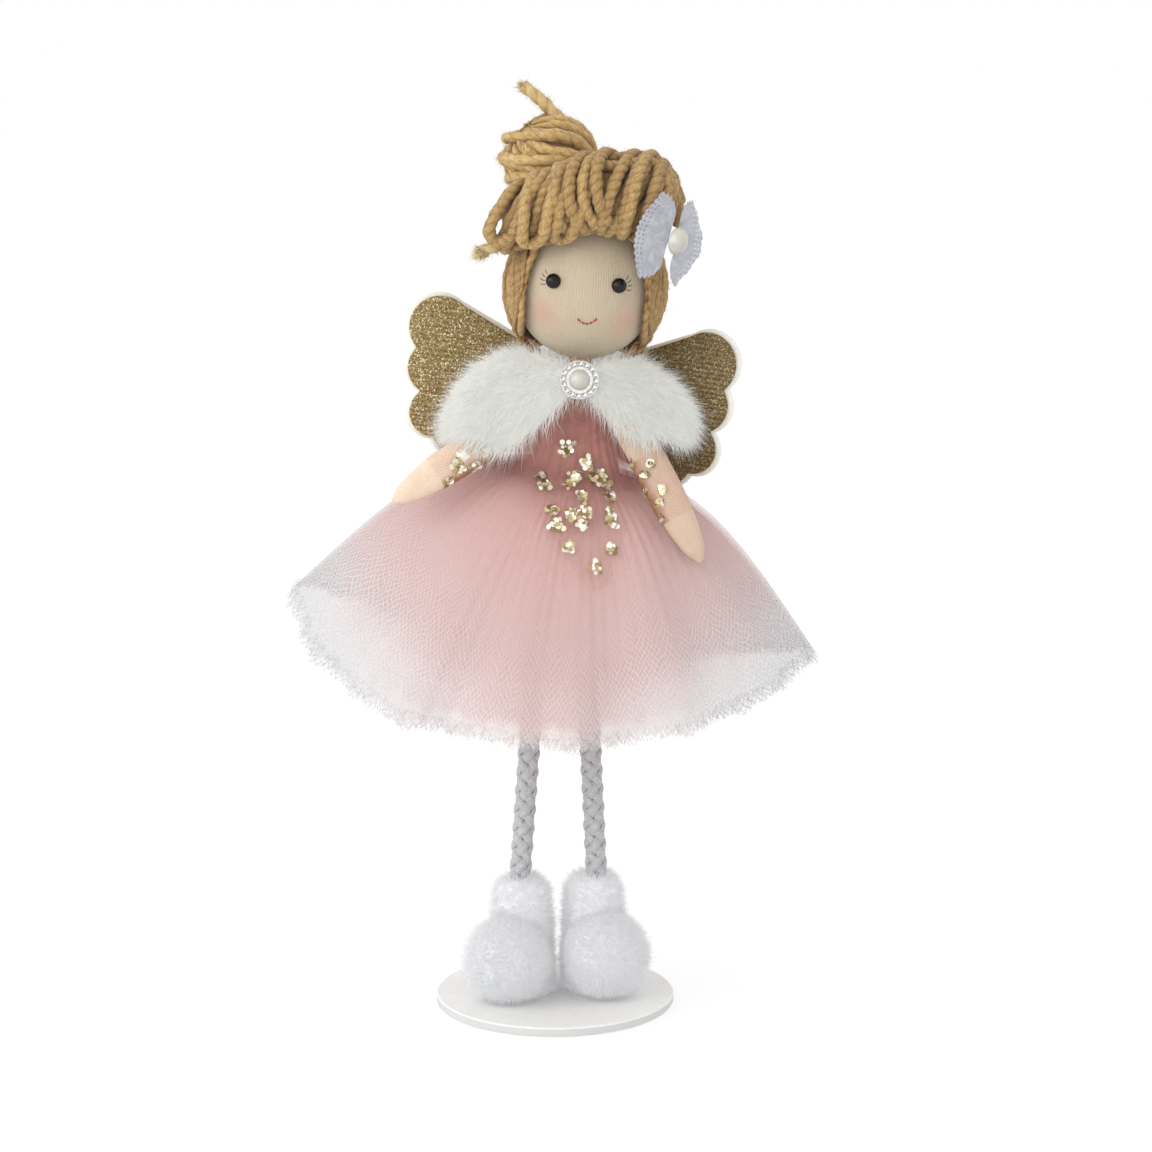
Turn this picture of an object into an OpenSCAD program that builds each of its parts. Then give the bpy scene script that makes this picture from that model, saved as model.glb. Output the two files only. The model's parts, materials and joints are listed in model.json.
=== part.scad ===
// Standing fairy doll on a painted disc: rope legs in plush boots carry a stuffed body with a
// gathered net skirt, a fur cape, felt wings and a jersey head with yarn hair.
// +Z is up, the doll faces -Y, and the origin is the centre of the disc's underside.

/* [Stand] */
// Diameter of the base disc
base_d = 65.5; // [60:0.5:80]
// Thickness of the base disc
base_t = 2.5; // [2:0.5:6]
// Width of the bevel round the disc's edges
base_bevel = 0.4; // [0.2:0.1:0.8]

/* [Boots] */
// Radius of the boot shaft at its top
boot_r = 8.2; // [7:0.1:9]
// Widening of the boot shaft towards the sole
boot_flare = 1.2; // [0.4:0.1:2]
// Height of the boot above the disc
boot_h = 33.5; // [28:0.5:38]
// Radius of the round over the boot's top
boot_round = 4; // [2:0.5:5]
// Radius of the toe pompom
toe_r = 12; // [10.5:0.1:12.5]
// Reach of the toe pompom in front of the leg
toe_reach = 8.5; // [7:0.5:11]
// Depth of the flat that the toe pompom stands on
toe_flat = 0.6; // [0.3:0.1:1.5]
// Turn-out of each toe, in degrees
toe_turn = 6; // [0:1:15]
// Offset of the boot from its leg, towards the other boot
boot_in = 1.6; // [0:0.1:2]

/* [Legs] */
// Diameter of the braided rope leg
rope_d = 6.2; // [5:0.1:7]
// Diameter of the wire in each leg
wire_d = 1.6; // [1.2:0.1:2.2]
// Distance between the legs at the disc
feet_gap = 25.2; // [25:0.2:28]
// Distance between the legs at the hips
hips_gap = 12.8; // [12:0.2:16]
// Step of the right foot behind the left one
foot_step = 4; // [0:0.5:6]
// Height of the hips above the disc
hip_h = 102.5; // [92:0.5:112]
// Depth that the rope goes into the boot
rope_in_boot = 8; // [5:0.5:12]

/* [Body] */
// Lean of the upper body towards +X, in degrees
lean = 4; // [0:0.5:6]
// Sideways offset of the hips from the disc's centre
hip_x = 1.8; // [0:0.1:3]
// Half width of the chest
chest_a = 13.6; // [13:0.1:14.5]
// Half depth of the chest
chest_b = 7.2; // [6.5:0.1:7.5]
// Half width of the waist
waist_a = 10.8; // [9.5:0.1:11.2]
// Half depth of the waist
waist_b = 9.3; // [8:0.1:9.6]
// Height of the waist above the hips
waist_h = 45; // [42:0.5:47]
// Height of the shoulder joints above the hips
shoulder_h = 59; // [57:0.5:60]
// Length of bare neck between the shoulders and the head
neck_show = 6.7; // [6:0.1:9]
// Diameter of the neck peg
neck_d = 6; // [5:0.1:7]

/* [Head] */
// Radius of the stuffed head
head_r = 19; // [18:0.1:20]
// Radius of the bead eyes
eye_r = 2; // [1.5:0.1:2.6]
// Distance between the eyes
eye_gap = 16.8; // [14:0.2:20]
// Height of the eyes above the head's centre
eye_up = 2.8; // [0:0.1:5]

/* [Hair] */
// Thickness of the yarn wig on the head
wig_t = 3.4; // [2.8:0.1:3.8]
// Half width of the face opening
face_w = 16; // [14:0.2:17]
// Radius of the yarn in the loops
yarn_r = 1.7; // [1.3:0.1:1.9]
// Number of yarn loops over the forehead
loop_count = 11; // [7:1:11]
// Radius of the roll under the loops
roll_r = 7.2; // [6:0.1:8]
// Radius of the bun's core
bun_r = 9.6; // [8:0.1:10.5]
// Number of turns of yarn round the bun
bun_turns = 5; // [3:1:5]

/* [Arms] */
// Length of the arm from the shoulder joint to its tip
arm_len = 41.5; // [36:0.5:44]
// Half width of the arm
arm_w = 4.8; // [4.4:0.1:5.4]
// Half thickness of the arm
arm_t = 2.8; // [2.2:0.1:2.9]
// Angle of the left arm below the horizon
left_drop = 36; // [28:1:38]
// Angle of the right arm below the horizon
right_drop = 58; // [50:1:60]
// Angle that the left arm can be raised by
left_lift = 45; // [30:5:45]
// Angle that the right arm can be raised by
right_lift = 60; // [30:5:60]
// Angle of the arms towards the front
arm_forward = 14; // [13:1:20]

/* [Skirt] */
// Half width of the skirt at its hem
skirt_a = 71; // [62:1:76]
// Half depth of the skirt at its hem
skirt_b = 52; // [46:1:58]
// Drop of the hem below the waist at the sides
side_drop = 43; // [38:1:48]
// Drop of the hem below the waist in front
front_drop = 66; // [60:1:70]
// Extra drop of the hem at the left of the front
hem_droop = 9; // [0:1:12]
// Tilt of the skirt towards +X, in degrees
skirt_tilt = 4; // [0:0.5:5]
// Depth of the folds at the hem
fold_depth = 2.4; // [1:0.1:3]
// Number of folds round the skirt
fold_count = 14; // [10:1:18]
// Thickness of each layer of net
net_t = 0.6; // [0.4:0.1:0.8]
// Distance from one layer of net to the next
net_gap = 1.4; // [1.2:0.1:1.8]

/* [Cape] */
// Thickness of the fur
fur_t = 7; // [5:0.2:8]
// Half width of the cape over the arms
cape_a = 32; // [29:0.5:34]
// Drop of the cape's hem below the shoulder joints
cape_drop = 9; // [6:0.5:11]

/* [Wings] */
// Length of each wing from the spine to its outer edge
wing_len = 47; // [43:0.5:51]
// Thickness of the felt
felt_t = 3; // [2:0.2:4]
// Thickness of the glitter cloth on the felt
glitter_t = 0.5; // [0.3:0.1:0.8]
// Width of bare felt round the glitter cloth
felt_rim = 1; // [0.4:0.1:1.5]
// Forward sweep of the left wing, in degrees
left_sweep = 8; // [4:1:14]
// Forward sweep of the right wing, in degrees
right_sweep = 24; // [14:1:26]
// Roll of the pair of wings, in degrees
wing_roll = 3; // [0:1:5]

/* [Trim] */
// Radius of the brooch
brooch_r = 5.1; // [4.4:0.1:5.6]
// Number of stones round the brooch
stone_count = 16; // [12:1:18]
// Radius of a sequin
sequin_r = 1.7; // [1.2:0.1:1.8]
// Length of one half of the bow
bow_len = 9; // [7:0.2:10]
// Radius of the bow's pearl
bow_pearl_r = 3.2; // [2.6:0.1:3.6]

/* [Hidden] */
$fn = 48;

// Clearances
fit_gap = 0.05;      // round a pin, a wire or a bead's shank that turns or slides in
soft_gap = 0.3;      // between soft pieces of different bodies
seat_gap = 0.1;      // between pieces that are sewn or glued together
beyond = 100;        // side of a block that cuts past any piece

// Colours
white_c = "whitesmoke";
rope_c = "lightgray";
skin_c = "bisque";
pink_c = "lightpink";
yarn_c = "burlywood";
gold_c = "darkgoldenrod";
silver_c = "silver";
black_c = "black";

function unit(v) = v / norm(v);
function mix(a, b, t) = a * (1 - t) + b * t;
function bezier(p, t) =
    p[0] * pow(1 - t, 3) + p[1] * 3 * t * pow(1 - t, 2) + p[2] * 3 * t * t * (1 - t) + p[3] * pow(t, 3);
function ellipse_r(a, b, angle) = a * b / norm([b * cos(angle), a * sin(angle)]);

// A ring of n points round c, in the plane of the unit vectors u and v
function ring(c, u, v, a, b, n) =
    [for (i = [0:n - 1]) c + u * a * cos(360 * i / n) + v * b * sin(360 * i / n)];

// Rings of a round tube along path, each turned so that it keeps to its own reference direction
function tube_rings(path, radii, refs, n) = [
    for (i = [0:len(path) - 1])
        let (last = len(path) - 1,
             d = unit(path[min(i + 1, last)] - path[max(i - 1, 0)]),
             u = unit(cross(refs[i], d)))
        ring(path[i], u, cross(d, u), radii[i], radii[i], n)];

// A skin over rings of equal count, closed by flat caps, or joined end to end when it is a loop
module skin(rings, loop = false) {
    n = len(rings[0]);
    m = len(rings);
    spans = loop ? m : m - 1;
    sides = [for (i = [0:spans - 1], j = [0:n - 1])
        let (a = i * n, b = ((i + 1) % m) * n, k = (j + 1) % n)
        each [[a + j, b + k, a + k], [a + j, b + j, b + k]]];
    // The caps are ladders between the two halves of a ring, so that a thin bent ring closes too
    ladder = loop ? [] : [for (j = [0:n / 2 - 2])
        each [[j, j + 1, n - 1 - j], [j + 1, n - 2 - j, n - 1 - j]]];
    last = (m - 1) * n;
    caps = [for (f = ladder) each [f, [last + f[2], last + f[1], last + f[0]]]];
    polyhedron([for (r = rings) each r], concat(sides, caps), convexity = 6);
}

// Turns +Z to the direction d
module along(d) {
    rotate([0, acos(d.z / norm(d)), atan2(d.y, d.x)]) children();
}

// A straight rod between two points
module rod(from, to, r) {
    translate(from) along(to - from) cylinder(r = r, h = norm(to - from));
}

module mirrored(left) {
    mirror([left ? 1 : 0, 0, 0]) children();
}

// Legs: each runs straight from its foot on the disc to its place in the hips
hip_z = base_t + hip_h;
function foot(left) = [(left ? -1 : 1) * feet_gap / 2 + 0.5, left ? 0 : foot_step, 0];
function hip(left) = [(left ? -1 : 1) * hips_gap / 2 + hip_x, left ? 0 : 1, hip_z];
function leg_at(left, z) = mix(foot(left), hip(left), z / hip_z);
wire_top = 14;       // reach of the wire above the hip line
rope_in_body = 4.5;  // reach of the rope above the torso's underside
torso_bottom = 6;    // depth of the torso below the hip line

module base_plate() {
    color(white_c) difference() {
        rotate_extrude($fn = 96) polygon([[0, 0], [base_d / 2 - base_bevel, 0], [base_d / 2, base_bevel],
            [base_d / 2, base_t - base_bevel], [base_d / 2 - base_bevel, base_t], [0, base_t]]);
        for (left = [true, false])
            rod(leg_at(left, base_t / 2 - 0.25), leg_at(left, base_t + 2), wire_d / 2 + fit_gap);
    }
}

module leg_wire(left) {
    color(silver_c) rod(leg_at(left, base_t / 2), leg_at(left, hip_z + wire_top), wire_d / 2);
}

module leg_rope(left) {
    color(rope_c) difference() {
        rod(leg_at(left, base_t + boot_h - rope_in_boot),
            leg_at(left, hip_z - torso_bottom + rope_in_body), rope_d / 2);
        rod(leg_at(left, base_t), leg_at(left, hip_z + wire_top), wire_d / 2 + fit_gap);
    }
}

// Boots: a plush shaft with a rounded top, and a pompom for the toe that is cut to the shaft
function boot_at(left) =
    let (p = leg_at(left, base_t + boot_h / 2))
    [p.x + (left ? 1 : -1) * boot_in, p.y, 0];

module boot_body(left, grow) {
    foot_r = boot_r + boot_flare;
    translate(boot_at(left) + [0, 0, base_t]) rotate_extrude()
        polygon(concat([[0, 0], [foot_r + grow - 1, 0], [foot_r + grow, 1]],
            [for (a = [0:15:90])
                [boot_r + grow - boot_round * (1 - cos(a)), boot_h + grow - boot_round * (1 - sin(a))]],
            [[0, boot_h + grow]]));
}

module boot(left) {
    color(white_c) difference() {
        boot_body(left, 0);
        rod(leg_at(left, base_t + boot_h - rope_in_boot - seat_gap),
            leg_at(left, base_t + boot_h + 5), rope_d / 2 + seat_gap);
        rod(leg_at(left, 0), leg_at(left, base_t + boot_h), wire_d / 2 + fit_gap);
    }
}

module toe(left) {
    turn = (left ? -1 : 1) * toe_turn;
    color(white_c) difference() {
        translate(leg_at(left, base_t) + [toe_reach * sin(turn), -toe_reach * cos(turn), toe_r - toe_flat])
            sphere(toe_r);
        translate([0, 0, base_t - toe_r]) cylinder(r = base_d, h = toe_r);
        boot_body(left, seat_gap);
    }
}

// Everything above the legs stands in a frame at the hips that leans with the body
module upper() {
    translate([hip_x, 0, hip_z]) rotate([0, lean, 0]) children();
}

// Half width and half depth of the stuffed body at each height above the hips
shoulder_top = shoulder_h + 8;
body_widths = [[-torso_bottom, 10], [-2, 13.4], [8, 14.6], [24, 13],
               [waist_h - 6, waist_a + 0.4], [waist_h, waist_a],
               [shoulder_h - 4, chest_a - 0.4], [shoulder_h, chest_a],
               [shoulder_h + 5, chest_a - 3], [shoulder_top, 6.5]];
body_depths = [[-torso_bottom, 7.4], [-2, 9.6], [8, 10.8], [24, 10.4],
               [waist_h - 6, waist_b + 0.2], [waist_h, waist_b],
               [shoulder_h - 4, chest_b + 0.2], [shoulder_h, chest_b],
               [shoulder_h + 5, chest_b - 0.6], [shoulder_top, 5.4]];
function body_ring(z, grow, n) =
    ring([0, 0, z], [1, 0, 0], [0, 1, 0], lookup(z, body_widths) + grow, lookup(z, body_depths) + grow, n);

head_h = shoulder_top + neck_show + head_r;   // height of the head's centre above the hips

shoulder_x = 14;     // distance of the shoulder joints from the spine
shoulder_y = -12;    // depth of the arms' mid plane at the joint
thread_r = 0.6;      // radius of the shoulder thread
knot_r = 1.3;        // radius of the knot at its end
thread_in = -1;      // depth at which the thread ends in the body

module shoulder_bore(left, gap) {
    mirrored(left) translate([shoulder_x, thread_in, shoulder_h]) rotate([90, 0, 0])
        cylinder(r = thread_r + gap, h = 30);
}

dowel_bottom = waist_h + 3;
dowel_top = head_h - 4;

module torso() {
    color(skin_c) difference() {
        upper() skin([for (w = body_widths) body_ring(w[0], 0, 24)]);
        for (left = [true, false]) {
            rod(leg_at(left, hip_z - 20),
                leg_at(left, hip_z - torso_bottom + rope_in_body + seat_gap), rope_d / 2 + seat_gap);
            rod(leg_at(left, hip_z - 20), leg_at(left, hip_z + wire_top + seat_gap), wire_d / 2 + fit_gap);
            upper() shoulder_bore(left, fit_gap);
        }
        upper() translate([0, 0, dowel_bottom]) cylinder(d = neck_d + 2 * fit_gap, h = 40);
    }
}

module shoulder_thread(left) {
    color(white_c) upper() mirrored(left) translate([shoulder_x, thread_in, shoulder_h])
        rotate([90, 0, 0]) {
        reach = thread_in - shoulder_y + arm_t + 2.2;
        cylinder(r = thread_r, h = reach);
        translate([0, 0, reach + knot_r * 0.6]) sphere(knot_r);
    }
}

module neck_dowel() {
    color(skin_c) upper() translate([0, 0, dowel_bottom])
        cylinder(d = neck_d, h = dowel_top - dowel_bottom);
}

frill_r = 1.1;       // radius of the rolled net at the neckline

module neck_frill() {
    color(pink_c) upper() translate([0, 0, shoulder_top + frill_r + seat_gap])
        rotate_extrude() translate([neck_d / 2 + frill_r + 1.9, 0]) circle(frill_r);
}

bodice_t = 0.8;      // thickness of the bodice cloth

module bodice() {
    levels = [waist_h + 2.2, shoulder_h - 9, shoulder_h - 4, shoulder_h, shoulder_h + 5, shoulder_top - 1];
    last = len(levels) - 1;
    inner = [for (z = levels) body_ring(z, 0.15, 32)];
    outer = [for (z = levels) body_ring(z, 0.15 + bodice_t, 32)];
    color(pink_c) difference() {
        upper() skin([for (j = [0:31])
            concat([for (i = [last:-1:0]) outer[i][j]], [for (i = [0:last]) inner[i][j]])], true);
        for (left = [true, false]) upper() shoulder_bore(left, fit_gap);
    }
}

// Skirt: its profile runs from the waist to the hem, flat at the sides and steep in front
skirt_waist_a = waist_a + 2.2;
skirt_waist_b = waist_b + 2.2;
side_line = [[skirt_waist_a, 0], [skirt_a * 0.5, 0],
             [skirt_a * 0.7, -side_drop * 0.42], [skirt_a, -side_drop]];
front_line = [[skirt_waist_b, 0], [skirt_b * 0.385, -front_drop * 0.1],
              [skirt_b * 0.73, -front_drop * 0.57], [skirt_b, -front_drop]];
function droop(angle, t) = hem_droop * t * t * exp(-pow((angle - 217) / 28, 2));
function skirt_line(angle, t) =
    mix(bezier(side_line, t), bezier(front_line, t), pow(abs(sin(angle)), 1.4)) - [0, droop(angle, t)];
function skirt_normal(angle, t) =
    let (d = unit(skirt_line(angle, t + 0.01) - skirt_line(angle, t - 0.01)))
    unit(mix([0, 1], [-d.y, d.x], min(1, t / 0.2)));
// A point of the skirt at an angle round it, at t from waist to hem, raised off the outer layer
function skirt_point(angle, t, off) =
    let (p = skirt_line(angle, t) + skirt_normal(angle, t) * off,
         r = p.x + fold_depth * t * t * cos(fold_count * angle))
    [r * cos(angle), r * sin(angle), p.y];

module at_waist() {
    upper() translate([0, 0, waist_h]) rotate([0, skirt_tilt, 0]) children();
}

module skirt_layer(off, hem, sectors, rows) {
    ts = [for (k = [0:rows]) hem * pow(k / rows, 0.8)];
    at_waist() skin([for (i = [0:sectors - 1])
        let (angle = 360 * i / sectors)
        concat([for (t = ts) skirt_point(angle, t, off)],
               [for (k = [rows:-1:0]) skirt_point(angle, ts[k], off - net_t)])], true);
}

net_sectors = 56;    // steps round a layer of net

module skirt_outer() { color(white_c) skirt_layer(0, 1, net_sectors, 7); }
module skirt_inner() { color(pink_c) skirt_layer(-net_gap, 0.97, net_sectors, 6); }
module skirt_lining() { color(pink_c) skirt_layer(-2 * net_gap, 0.88, net_sectors, 6); }

module waist_band() {
    top = 1.6;
    bottom = -4;
    color(pink_c) upper() translate([0, 0, waist_h]) skin([for (i = [0:31])
        let (angle = 360 * i / 32,
             in_r = ellipse_r(waist_a + 0.6, waist_b + 0.5, angle),
             out_r = ellipse_r(skirt_waist_a - 0.5, skirt_waist_b - 0.5, angle),
             d = [cos(angle), sin(angle), 0])
        [d * in_r + [0, 0, top], d * out_r + [0, 0, top],
         d * out_r + [0, 0, bottom], d * in_r + [0, 0, bottom]]], true);
}

// A pointed panel of sequinned net lies on the front of the skirt, below the bodice
panel_angle = 42;    // half angle of the panel at its top
panel_reach = 0.5;   // its reach from the waist towards the hem
panel_lift = 1;      // its height over the outer net
panel_t = 0.3;       // its thickness

function panel_point(across, down, off) =
    skirt_point(274 + 12 * down + across * panel_angle * (1 - 0.92 * down), 0.06 + down * panel_reach, off);

module sequin_net() {
    steps = 8;
    color(pink_c) at_waist() skin([for (k = [0:steps])
        concat([for (i = [steps:-1:0]) panel_point(2 * i / steps - 1, k / steps, panel_lift + panel_t)],
               [for (i = [0:steps]) panel_point(2 * i / steps - 1, k / steps, panel_lift)])]);
}

// Sequins in staggered rows that narrow towards the panel's point
sequin_rows = [4, 4, 5, 4, 3, 2];
sequin_stagger = 0.12;   // shift of every other row, as a share of the panel's half width
sequin_lift = 0.65;      // height of a sequin's back over the net, which is curved under it
sequin_t = 0.3;

module front_sequins() {
    color(gold_c) at_waist() for (row = [0:len(sequin_rows) - 1], i = [0:sequin_rows[row] - 1]) {
        down = 0.1 + 0.155 * row;
        across = (2 * i / (sequin_rows[row] - 1) - 1) * 0.72 - (row % 2) * sequin_stagger;
        p = panel_point(across, down, panel_lift + panel_t);
        d = unit(panel_point(across, down, panel_lift + panel_t + 1) - p);
        rod(p + d * sequin_lift, p + d * (sequin_lift + sequin_t), sequin_r);
    }
}

// Arms: a stuffed mitten shape that hangs on its thread at the shoulder
arm_shape = [[-6, 0.18, 0.3], [-5, 0.55, 0.7], [-2.5, 0.9, 0.95], [2, 1, 1],
             [arm_len * 0.24, 0.98, 1], [arm_len * 0.46, 1, 1], [arm_len * 0.68, 0.92, 0.95],
             [arm_len * 0.83, 0.74, 0.84], [arm_len * 0.93, 0.5, 0.66], [arm_len, 0.14, 0.25]];
function arm_ring(s, grow, n) =
    let (ends = s[0] < 0 ? -grow : s[0] == arm_len ? grow : 0)
    ring([s[0] + ends, 0, 0], [0, 1, 0], [0, 0, 1], s[2] * arm_t + grow, s[1] * arm_w + grow, n);
function arm_drop(left) = left ? left_drop : right_drop;

function arm_lift(left) = left ? left_lift : right_lift;

module at_shoulder(left, lift = 0) {
    upper() mirrored(left) translate([shoulder_x, shoulder_y, shoulder_h])
        rotate([0, arm_drop(left) - lift, 0]) rotate([0, 0, -arm_forward]) children();
}

module arm(left) {
    color(skin_c) difference() {
        at_shoulder(left) skin([for (s = arm_shape) arm_ring(s, 0, 16)]);
        upper() shoulder_bore(left, fit_gap);
    }
}

sleeve_t = 0.4;      // thickness of the sequinned net on the arm
sleeve_lift = 0.15;  // its height over the arm

module sleeve(left) {
    outer = [for (i = [4:6]) arm_ring(arm_shape[i], sleeve_lift + sleeve_t, 16)];
    inner = [for (i = [4:6]) arm_ring(arm_shape[i], sleeve_lift, 16)];
    color(pink_c) at_shoulder(left) skin([for (j = [0:15])
        concat([for (i = [2:-1:0]) outer[i][j]], [for (i = [0:2]) inner[i][j]])], true);
}

// Head and wig stand in a frame at the head's centre
wig_r = head_r + seat_gap + wig_t;

module at_head() {
    upper() translate([0, 0, head_h]) children();
}

function eye_at(left) =
    let (x = (left ? -1 : 1) * eye_gap / 2)
    [x, -sqrt(head_r * head_r - x * x - eye_up * eye_up), eye_up];
shank_r = 0.5;       // radius of a bead eye's shank
shank_in = 3.4;      // depth of the shank in the head
eye_out = 0.4;       // height of the bead's centre over the head

module head() {
    color(skin_c) at_head() difference() {
        sphere(head_r, $fn = 96);
        translate([0, 0, -head_r - 1])
            cylinder(d = neck_d + 2 * fit_gap, h = head_r + 1 + dowel_top - head_h + 0.5);
        for (left = [true, false])
            rod(eye_at(left) * (1 - (shank_in + 0.4) / head_r), eye_at(left) * 1.1, shank_r + fit_gap);
    }
}

// A bead eye is turned about the line from the head's centre: its back is hollowed to the head
module eye(left) {
    back_r = head_r + fit_gap;
    middle = head_r + eye_out;
    rim_h = (back_r * back_r + middle * middle - eye_r * eye_r) / (2 * middle);
    rim_a = acos(rim_h / back_r);
    shank_a = asin(shank_r / back_r);
    bead_a = acos((rim_h - middle) / eye_r);
    back = [for (i = [0:3]) let (a = mix(shank_a, rim_a, i / 3)) back_r * [sin(a), cos(a)]];
    bead = [for (i = [1:10])
        let (a = mix(bead_a, 0, i / 10))
        [eye_r * sin(a), middle + eye_r * cos(a)]];
    shank = [[0, head_r - shank_in], [shank_r, head_r - shank_in]];
    color(black_c) at_head() along(eye_at(left)) rotate_extrude() polygon(concat(shank, back, bead));
}

neck_hole = 10;      // radius of the wig's opening round the neck

module hair_wig() {
    color(yarn_c) at_head() difference() {
        sphere(wig_r, $fn = 96);
        sphere(head_r + seat_gap, $fn = 96);
        translate([0, -4, -1]) rotate([90, 0, 0]) linear_extrude(wig_r) {
            circle(face_w);
            translate([-face_w, -wig_r]) square([2 * face_w, wig_r]);
        }
        translate([0, 0, -wig_r - 1]) cylinder(r = neck_hole, h = wig_r);
    }
}

// The roll over the forehead follows the hairline and swells towards its right end
roll_ends = [-23, 22];
roll_front = 11.5;   // reach of its middle in front of the head's centre
roll_up = 24.5;      // height of its middle over the head's centre
function roll_centre(x) = [x, -roll_front + 0.008 * x * x, roll_up + 0.1 * x - 0.011 * x * x];
function roll_swell(x) = roll_r * (1.02 + 0.007 * x);

module wig_clear() { sphere(wig_r + seat_gap, $fn = 96); }

module hair_roll() {
    xs = [for (i = [0:12]) mix(roll_ends[0], roll_ends[1], i / 12)];
    radii = [for (i = [0:12]) roll_swell(xs[i]) * (i == 0 || i == 12 ? 0.6 : 1)];
    color(yarn_c) at_head() difference() {
        skin([for (i = [0:12]) ring(roll_centre(xs[i]), [0, 1, 0], [0, 0, 1], radii[i], radii[i], 14)]);
        wig_clear();
    }
}

// Each loop lies round the roll from the hairline to the crown, leaning with its height
loop_from = -62;
loop_to = 152;
loop_lean = 2.2;

function loop_path(x) = [for (i = [0:11])
    let (a = mix(loop_from, loop_to, i / 11),
         at = x + loop_lean * sin(a),
         r = roll_swell(at) + yarn_r + 2 * seat_gap)
    roll_centre(at) + [0, -r * cos(a), r * sin(a)]];

module hair_loops() {
    refs = [for (i = [0:11]) [1, 0, 0]];
    radii = [for (i = [0:11]) yarn_r * (i == 0 || i == 11 ? 0.7 : 1)];
    color(yarn_c) at_head() difference() {
        for (i = [0:loop_count - 1]) {
            x = mix(roll_ends[0] + loop_lean, roll_ends[1] - loop_lean, i / (loop_count - 1));
            skin(tube_rings(loop_path(x), radii, refs, 6));
        }
        wig_clear();
    }
}

// The bun sits on the crown; its yarn winds up it in one unbroken turn after another
bun_at = [-11.5, 10, 32.5];
wrap_r = bun_r + yarn_r + seat_gap;
wrap_low = -38;
wrap_high = 66;
wrap_steps = bun_turns * 16;
wrap_path = [for (i = [0:wrap_steps])
    let (up = mix(wrap_low, wrap_high, i / wrap_steps), a = 360 * bun_turns * i / wrap_steps)
    bun_at + wrap_r * [cos(up) * cos(a), cos(up) * sin(a), sin(up)]];
yarn_wrap_r = min(1.5, yarn_r);
// Least gap of the winding to itself, over points half a turn or more apart
wrap_gap = min([for (i = [0:wrap_steps], j = [i + 8:1:wrap_steps]) norm(wrap_path[i] - wrap_path[j])])
    - 2 * yarn_wrap_r;
echo(least_gap_of_bun_winding = wrap_gap);

// The bun's core is turned about the line from the head's centre: its foot is hollowed to the wig
bun_stem = 0.42;     // radius of its stem as a share of the core's

module hair_bun() {
    stem_a = asin(bun_stem * bun_r / (wig_r + seat_gap));
    foot = [for (i = [0:3]) (wig_r + seat_gap) * [sin(stem_a * i / 3), cos(stem_a * i / 3)]];
    neck_a = asin(bun_stem);
    ball = [for (i = [0:12])
        let (a = mix(neck_a, 180, i / 12))
        [bun_r * sin(a), norm(bun_at) - bun_r * cos(a)]];
    color(yarn_c) at_head() along(bun_at) rotate_extrude() polygon(concat(foot, ball));
}

module hair_bun_wrap() {
    radii = [for (i = [0:wrap_steps]) yarn_wrap_r];
    color(yarn_c) at_head() skin(tube_rings(wrap_path, radii, [for (p = wrap_path) p - bun_at], 6));
}

module hair_tail() {
    root = bun_at + [0.6, 0, bun_r + 0.4];
    line = [root, root + [0.6, 0, 4], bun_at + [-2.5, -1, wrap_r + 4.5], bun_at + [-8, -1, wrap_r + 7]];
    path = [for (i = [0:6]) bezier(line, i / 6)];
    radii = [1.4, 1.7, 1.9, 2, 2, 1.9, 1.3];
    color(yarn_c) at_head() skin(tube_rings(path, radii, [for (p = path) [0, 1, 0]], 8));
}

module hair_end() {
    from = roll_centre(roll_ends[0]) + [-0.6, -1.6, -5.6];
    path = [for (i = [0:4]) from + [-1.1 * i, -0.2 * i, -1.5 * i + 0.1 * i * i]];
    color(yarn_c) at_head() difference() {
        skin(tube_rings(path, [1.4, 1.7, 1.8, 2, 1.8], [for (p = path) [0, 1, 0]], 8));
        wig_clear();
    }
}

// Lace bow on the right of the roll, held by a knot under a pearl
bow_at = [21.5, -21.8, 16];
bow_t = 0.8;         // thickness of the gathered lace
bow_pitch = 12;      // lean of the bow, in degrees
bow_yaw = 38;        // turn of its knot and pearl, in degrees

module bow_half(left) {
    // Across runs over the width of the lace, out along it, with a fold down its middle
    at = function(across, out, side) [
        out * bow_len * (1 - 0.12 * across * across) + 1.3,
        side * bow_t / 2 + 1.5 * cos(180 * across) * out - 1.2 * out,
        across * (1.4 + 9.6 * pow(sin(90 * out), 0.8))];
    color(white_c) at_head() translate(bow_at) rotate([0, bow_pitch, left ? 8 : 58]) mirrored(left)
        skin([for (k = [0:5])
            concat([for (i = [0:8]) at(i / 4 - 1, k / 5, 1)],
                   [for (i = [8:-1:0]) at(i / 4 - 1, k / 5, -1)])]);
}

module bow_knot() {
    color(white_c) at_head() translate(bow_at) rotate([0, bow_pitch, bow_yaw])
        translate([0, 3.4, 0]) rotate([90, 0, 0]) cylinder(r = 0.9, h = 4.9);
}

module bow_pearl() {
    color(white_c) at_head() translate(bow_at) rotate([0, bow_pitch, bow_yaw])
        translate([0, -1.5 - seat_gap, 0]) difference() {
            sphere(bow_pearl_r);
            translate([-beyond / 2, 0, -beyond / 2]) cube(beyond);
        }
}

// Cape: a fur strip laid round the neck, deep over the shoulders, short in front and behind
cape_neck_r = 9;     // radius of its line at the neck
cape_b = 20;         // half depth of the cape
cape_reach = 88;     // degrees that each lobe reaches to the front and to the back
function cape_hem_r(angle) = ellipse_r(cape_a, cape_b, angle);
front_rise = 13;     // rise of the hem in front
back_rise = 10;      // rise of the hem behind
function cape_hem_z(angle) = shoulder_h - cape_drop
    + front_rise * exp(-pow((angle + 90) / 24, 2)) + back_rise * exp(-pow((angle - 90) / 40, 2));

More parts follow.
